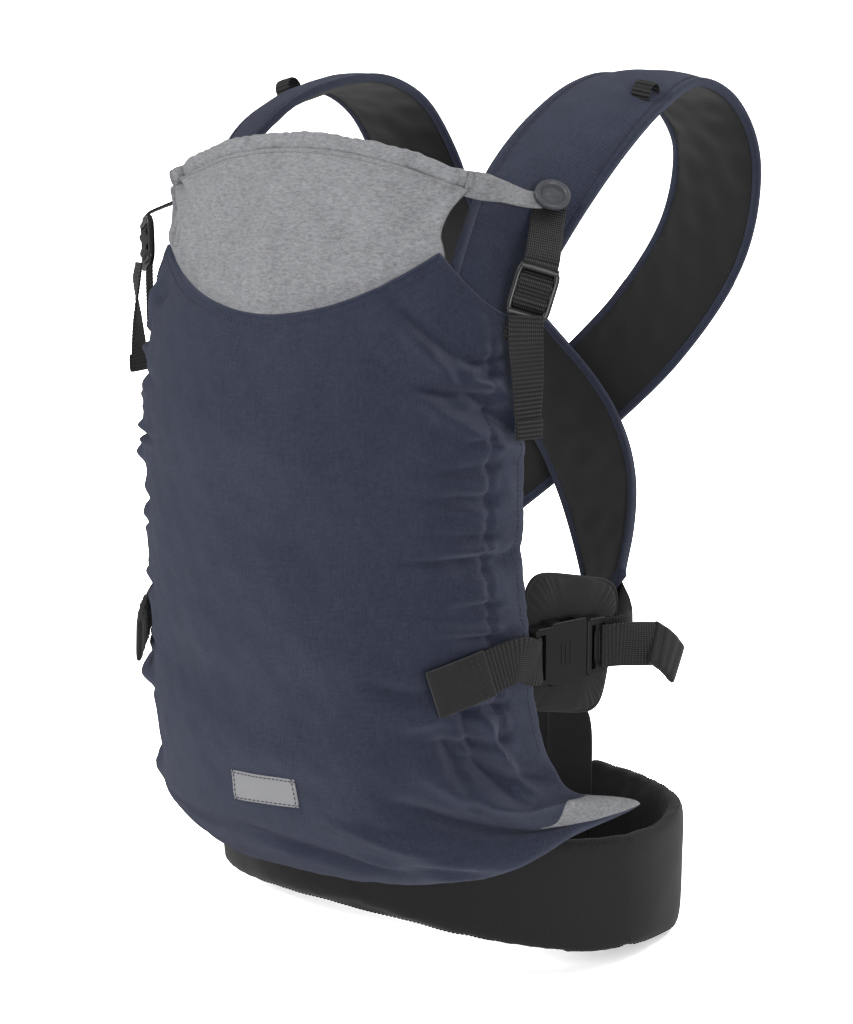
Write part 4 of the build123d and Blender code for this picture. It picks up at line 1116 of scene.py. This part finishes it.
# ---- Shoulder adjusters ----------------------------------------------------------------------------------
# Webbing sewn under each cap runs down through a glossy ladder lock, whose lower bar is held by a short
# anchor from the panel, and hangs on as a loose tail with a rolled end.
def gloss_plastic():
    """Polished black acetal, lightly scuffed."""
    paint = Paint("buckle_gloss", Specular_IOR_Level=0.55, Coat_Weight=0.3, Coat_Roughness=0.2)
    grain = paint.noise(900.0, 3.0, 0.6)
    scuffs = paint.noise(40.0, 5.0, 0.7)
    paint.colour(scuffs * 0.8 + grain * 0.2, (0.004, 0.004, 0.0045), (0.018, 0.018, 0.019))
    paint.rough(scuffs * 0.14 + grain * 0.08 + 0.24)
    return paint.bump(grain * 0.4 + scuffs * 0.6, 0.0002, 0.3)


gloss = gloss_plastic()
lock_centre = np.array([164, -118, 474]) * mm
lock_up, lock_face = np.array([0.2, 0.2, 0.93]), np.array([0.6, -0.72, 0.25])
lock_drawn_up = {"right": 0.0, "left": 24 * mm}
lock_half_width, lock_half_height = 14.2 * mm, 17.6 * mm
lock_bar, lock_half_thick = 2.0 * mm, 3.0 * mm
# The webbing's way over the two middle bars: height on the lock and distance outwards in mm, and how far it
# faces up.
threading = [
    (12.8, -2.6, 2.2), (11.4, -0.4, 1.6), (8.6, 2.6, 0.8), (5.67, 3.7, 0), (2.8, 2.4, -0.6), (0, 1.2, 0),
    (-2.8, 2.4, 0.6), (-5.67, 3.7, 0), (-8.6, 2.6, -0.8), (-11.2, -0.2, -1.6), (-12.6, -2.2, -2.2),
]


def lock_axes(side_name, side):
    """Centre and the across, up and outward directions of a ladder lock."""
    up = unit(lock_up * [side, 1, 1])
    across = unit(np.cross(up, lock_face * [side, 1, 1]))
    return lock_centre * [side, 1, 1] + up * lock_drawn_up[side_name], across, up, np.cross(across, up)


def adjuster(side_name, side):
    """The lock with its webbing threaded, the webbing up to the cap, the anchor and the loose tail."""
    centre, across, up, out = lock_axes(side_name, side)
    body = f"ladder_lock_{side_name}"

    def spot(x, y, z):
        return centre + across * x * mm + up * y * mm + out * z * mm

    # The frame is an oval bar carried round a rounded rectangle, dished so that its ends stand forward.
    outline = oval(lock_half_width - lock_bar, lock_half_height - lock_bar, 7, 96)
    lean = (np.abs(outline[:, 1]) / lock_half_height) ** 3 * 1.0 * mm
    path = centre + outline[:, :1] * across + outline[:, 1:] * up + lean[:, None] * out
    run = unit(np.roll(path, -1, 0) - np.roll(path, 1, 0))
    side_way = np.cross(run, out)
    section = oval(lock_bar, lock_half_thick - 0.5 * mm, 2.6, 16)
    rings = path[:, None] + section[:, :1] * side_way[:, None] + section[:, 1:] * out
    ring = skin(f"lock_frame_{side_name}", rings, gloss, loop=True)
    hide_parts(f"ladder_lock_{side_name}")
    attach(ring, body)
    for k, (y, z, girth) in enumerate(((5.3, 0, 2.0), (-5.3, 0, 2.0), (15.0, 0.9, 2.5), (-15.0, 0.9, 2.9))):
        line = np.linspace(spot(-12.4, y, z), spot(12.4, y, z), 24)
        rings = carried(line, out, oval(girth * mm, 2.3 * mm, 2.5, 16))
        bar = skin(f"lock_bar_{k}_{side_name}", rings, gloss)
        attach(bar, body)
    points = [spot(0, y, z) for y, z, _ in threading]
    facing = [up * slope + out for _, _, slope in threading]
    threaded = web(f"lock_webbing_{side_name}", points, facing, 21 * mm, body=body)
    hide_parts(f"lift_turn_{side_name}")

    cap_centre, cap_axis = caps[side_name]
    seat = cap_centre - cap_axis * 5.2 * mm
    bottom = spot(0, 20.5, 0.2)
    down = unit(bottom - seat - cap_axis * ((bottom - seat) @ cap_axis))
    middle = (seat + down * 14 * mm + bottom) / 2 + cap_axis * 1.5 * mm
    strip = web(
        f"lift_strip_{side_name}",
        [seat - down * 9 * mm, seat + down * 12 * mm, middle, bottom, spot(0, 13.2, -1.4)],
        [cap_axis, cap_axis, cap_axis + out, out, out + 0.3 * up],
        22.5 * mm,
    )
    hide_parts(f"lift_webbing_{side_name}")

    length = 14 + lock_drawn_up[side_name] / mm
    held = [(-14, -1.6), (-20, -0.3), (-20 - length * 0.6, 0), (-20 - length, 0)]
    anchor = web(f"lift_anchor_{side_name}", [spot(0, y, z) for y, z in held], [out] * 4, 20 * mm)
    if side > 0:
        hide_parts("lift_anchors")

    hang = spot(0, -15, 7.0)
    turned, half_turned = (0.97 * side, -0.26, 0.0), (0.85 * side, -0.5, 0.0)
    drops = np.array([(0, 0, 0), (1, -2, -14), (2, -1, -40), (2, 0, -66), (2, 0, -78)]) * [side, 1, 1] * mm
    facing = [out, out, half_turned, turned, turned]
    body = f"lift_tail_{side_name}"
    tail = web(f"loose_tail_{side_name}", [hang + d for d in drops], facing, 22 * mm, body=body)
    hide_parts(f"lift_tail_{side_name}")
    face = unit(np.array(turned))
    rolled = ((drops[3], 1.7), (((drops[3] + drops[4]) / 2), 1.9), (drops[4], 1.4))
    roll = [hang + d + face * away * mm for d, away in rolled]
    web(f"tail_roll_{side_name}", roll, [turned] * 3, 21.6 * mm, body=body)


for side_name, side in sides.items():
    adjuster(side_name, side)


# ---- Side buckles ----------------------------------------------------------------------------------------
# Side-release buckles in satin black plastic for 30 mm webbing. The socket is held by webbing from the
# panel's side hem, whose spare end lies round the panel in a canvas cap. The plug takes the webbing of the
# strap.
def satin_plastic():
    """Moulded acetal: a fine spark-eroded grain, faint flow marks and smooth, slightly worn high spots."""
    paint = Paint("buckle_satin", Specular_IOR_Level=0.35, Coat_Weight=0.05, Coat_Roughness=0.3)
    grain = paint.noise(1500.0, 2.0, 0.6)
    flow = paint.noise(30.0, 4.0, 0.6)
    paint.colour(flow * 0.8 + grain * 0.2, (0.006, 0.006, 0.0065), (0.02, 0.02, 0.021))
    paint.rough(flow * 0.15 + grain * 0.1 + 0.3)
    return paint.bump(grain, 0.0002, 0.5)


satin = satin_plastic()
side_mouth, side_axis = np.array([157, -41, 228]) * mm, np.array([0.25, 0.97])
side_width = 30 * mm
socket_length, buckle_frame, side_thick = 34 * mm, 14 * mm, 11.2 * mm
slot_at = socket_length + buckle_frame


def grips(name, centre, run, across, out, count, length, spacing, body):
    """A row of low moulded ribs where a finger presses: each is a long half-sunk bead."""
    for k in range(count):
        middle = centre + run * (k - (count - 1) / 2) * spacing
        line = np.linspace(middle - across * length / 2, middle + across * length / 2, 12)
        taper = np.sqrt(1 - np.linspace(-0.97, 0.97, 12) ** 4)[:, None, None]
        rib = skin(f"{name}_{k}", carried(line, out, oval(0.7 * mm, 0.7 * mm, 2, 12) * taper), satin)
        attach(rib, body)


def side_fastening(side_name, side):
    """Finger ribs on the buckle, the socket's webbing with its capped spare end, the strip that joins the
    plug to the strap's lower end, and the plug's own capped spare end."""
    mouth = side_mouth * [side, 1, 1]
    into = unit(np.array([-side * side_axis[0], -side_axis[1], 0]))
    out = unit(np.array([side * side_axis[1], -side_axis[0], 0]))
    up = np.array([0, 0, 1.0])
    plug = f"side_plug_{side_name}"
    dress(satin, plug, *(f"side_{part}_{side_name}" for part in ("socket", "latch_upper", "latch_lower")))

    def spot(along, away, rise=0.0):
        return mouth + into * along + out * away + up * rise

    half = side_thick / 2
    grips(f"socket_rib_{side_name}", spot(20 * mm, half), into, up, out, 3, 16 * mm, 4 * mm, "carrier")
    grips(f"plug_rib_{side_name}", spot(-9 * mm, half), into, up, out, 2, 22 * mm, 4 * mm, plug)

    inner = [spot(slot_at + 10 * mm, -9.5 * mm), spot(slot_at + 1 * mm, -half - 1.5 * mm)]
    web(f"socket_webbing_{side_name}", inner, [out, out], side_width)
    tail = [
        spot(slot_at - 3 * mm, half + 1.5 * mm),
        spot(slot_at + 8 * mm, half + 9 * mm),
        np.array([side * 159, -122, 236]) * mm,
        np.array([side * 147, -150, 229]) * mm,
    ]
    facing = [out, out, (side * 0.9, -0.45, 0), (side * 0.75, -0.66, 0)]
    outer = web(f"socket_tail_{side_name}", tail, facing, side_width)
    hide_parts(f"side_webbing_{side_name}")
    cap_route = np.array([(side * 150, -144, 230.5), (side * 139, -161, 224.5), (side * 128, -176, 219)]) * mm
    facing = [facing[3], (side * 0.7, -0.7, 0), (side * 0.62, -0.78, 0)]
    end_cap(f"socket_tail_cap_{side_name}", cap_route, facing, side_width, "carrier")

    strap_path, strap_out, _ = strap_runs["left" if side > 0 else "right"]
    lap, face = strap_path[-1] + strap_out[-1] * 7.8 * mm, strap_out[-1]
    run = unit(strap_path[-1] - strap_path[-4])
    under = -half - 2.0 * mm
    route = [
        spot(-buckle_frame - 5 * mm, under), spot(-buckle_frame - 38 * mm, under),
        np.array([side * 144, 46, 229]) * mm, lap - run * 2 * mm, lap - run * 26 * mm,
    ]
    facing = [out, out, (side * 0.85, 0.5, 0), face, face]
    strip = web(f"strap_end_strip_{side_name}", route, facing, side_width)
    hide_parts(f"strap_end_webbing_{side_name}")

    rear = [
        spot(-buckle_frame + 2 * mm, half + 1.5 * mm), spot(-buckle_frame - 14 * mm, half + 7 * mm),
        np.array([side * 186, 12, 224]) * mm,
    ]
    turned = (side * 0.93, -0.1, 0.3)
    loose = web(f"plug_tail_{side_name}", rear, [out, out, turned], side_width, body=plug)
    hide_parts(f"strap_end_tail_{side_name}")
    rear_cap = np.array([(side * 184.5, 8, 226), (side * 189.5, 20, 217), (side * 193, 30, 206)]) * mm
    facing = [turned, turned, (side * 0.95, -0.1, 0.35)]
    end_cap(f"plug_tail_cap_{side_name}", rear_cap, facing, side_width, plug)


for side_name, side in sides.items():
    side_fastening(side_name, side)


# ---- Buckle guards ---------------------------------------------------------------------------------------
# A soft canvas pad behind each side buckle keeps the plastic off the skin. It is stuffed like a small
# cushion and its seam stands out as a cord.
guard_half_length, guard_half_height, guard_half_thick = 44.5 * mm, 46.5 * mm, 5.5 * mm
guard_offset, guard_tilt = 15 * mm, radians(12)

for side_name, side in sides.items():
    into = unit(np.array([-side * side_axis[0], -side_axis[1], 0]))
    out = unit(np.array([side * side_axis[1], -side_axis[0], 0]))
    across = into * cos(guard_tilt) + np.array([0, 0, sin(guard_tilt)])
    up = np.array([0, 0, cos(guard_tilt)]) - into * sin(guard_tilt)
    centre = side_mouth * [side, 1, 1] + into * 2 * mm - out * guard_offset
    slab = (centre, across, up, guard_half_length, guard_half_height)
    guard = cushion(f"guard_cover_{side_name}", *slab, guard_half_thick)
    crumple(guard, 38 * mm, 0.8 * mm, 9 + side)
    cord = rim_cord(f"guard_cord_{side_name}", *slab, 1.4 * mm)
    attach(cord, "carrier")
    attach(guard, "carrier")
    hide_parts(f"buckle_guard_{side_name}")


# ---- Waist buckle ----------------------------------------------------------------------------------------
# The same kind of buckle for 40 mm webbing closes the belt behind. Its webbing is sewn to the belt's two
# ends, and the plug's spare end lies along the back of the belt in a cap.
waist_z, waist_width, waist_thick = 50 * mm, 40 * mm, 12.6 * mm
waist_y = belt_centre_y + belt_half_depth + waist_thick / 2 + 2 * mm
dress(satin, "waist_socket", "waist_plug", "waist_latch_upper", "waist_latch_lower")
back, right_way, upright = np.array([0, 1.0, 0]), np.array([1.0, 0, 0]), np.array([0, 0, 1.0])
for name, x, count, length, body in (("socket", -20, 3, 22, "carrier"), ("plug", 9, 2, 30, "waist_plug")):
    centre = np.array([x * mm, waist_y + waist_thick / 2, waist_z])
    grips(f"waist_{name}_rib", centre, right_way, upright, back, count, length * mm, 4.5 * mm, body)


def belt_back(x, away):
    """A point on the belt's outer face behind, at a distance outwards."""
    share = (1 - abs(x / belt_half_width) ** belt_power) ** (1 / belt_power)
    return x, belt_centre_y + belt_half_depth * share + away, waist_z


webbing_y = belt_centre_y + belt_half_depth + 0.8 * mm
for name, side, start in (("left", -1, -43 * mm), ("right", 1, 10 * mm)):
    run = [(start, webbing_y, waist_z), (side * 80 * mm, webbing_y, waist_z)]
    run += [belt_back(side * x * mm, 1.8 * mm) for x in (104, 124)]
    facing = [(0, 1, 0), (0, 1, 0), (side * 0.25, 0.97, 0), (side * 0.4, 0.92, 0)]
    piece = web(f"waist_strip_{name}", run, facing, waist_width, 1.0 * mm)
    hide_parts(f"waist_webbing_{name}")
tail_y = waist_y + waist_thick / 2 + 1.8 * mm
tail = [(x * mm, tail_y - drop * mm, waist_z) for x, drop in ((8, 0), (34, 1), (66, 6), (96, 9))]
facing = [(0, 1, 0), (0.1, 1, 0), (0.15, 1, 0), (0.1, 1, 0)]
piece = web("waist_loose_strip", tail, facing, waist_width, body="waist_plug")
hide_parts("waist_tail")
end = [(x * mm, tail_y - drop * mm, waist_z) for x, drop in ((92, 8.7), (102, 9.4), (112, 10))]
end_cap("waist_tail_cap", end, [(0.1, 1, 0)] * 3, waist_width, "waist_plug")


# ---- Floor -----------------------------------------------------------------------------------------------
# The carrier stands on a plain pale studio floor.
bpy.ops.mesh.primitive_plane_add(size=14)
floor = bpy.context.object
floor.name = "floor"
pale = Paint("pale_floor", Specular_IOR_Level=0.1)
pale.colour(pale.noise(3.0), (0.93, 0.93, 0.93), (0.96, 0.96, 0.96))
pale.rough(pale.noise(5.0) * 0.1 + 0.85)
floor.data.materials.append(pale.material)
floor.is_shadow_catcher = True
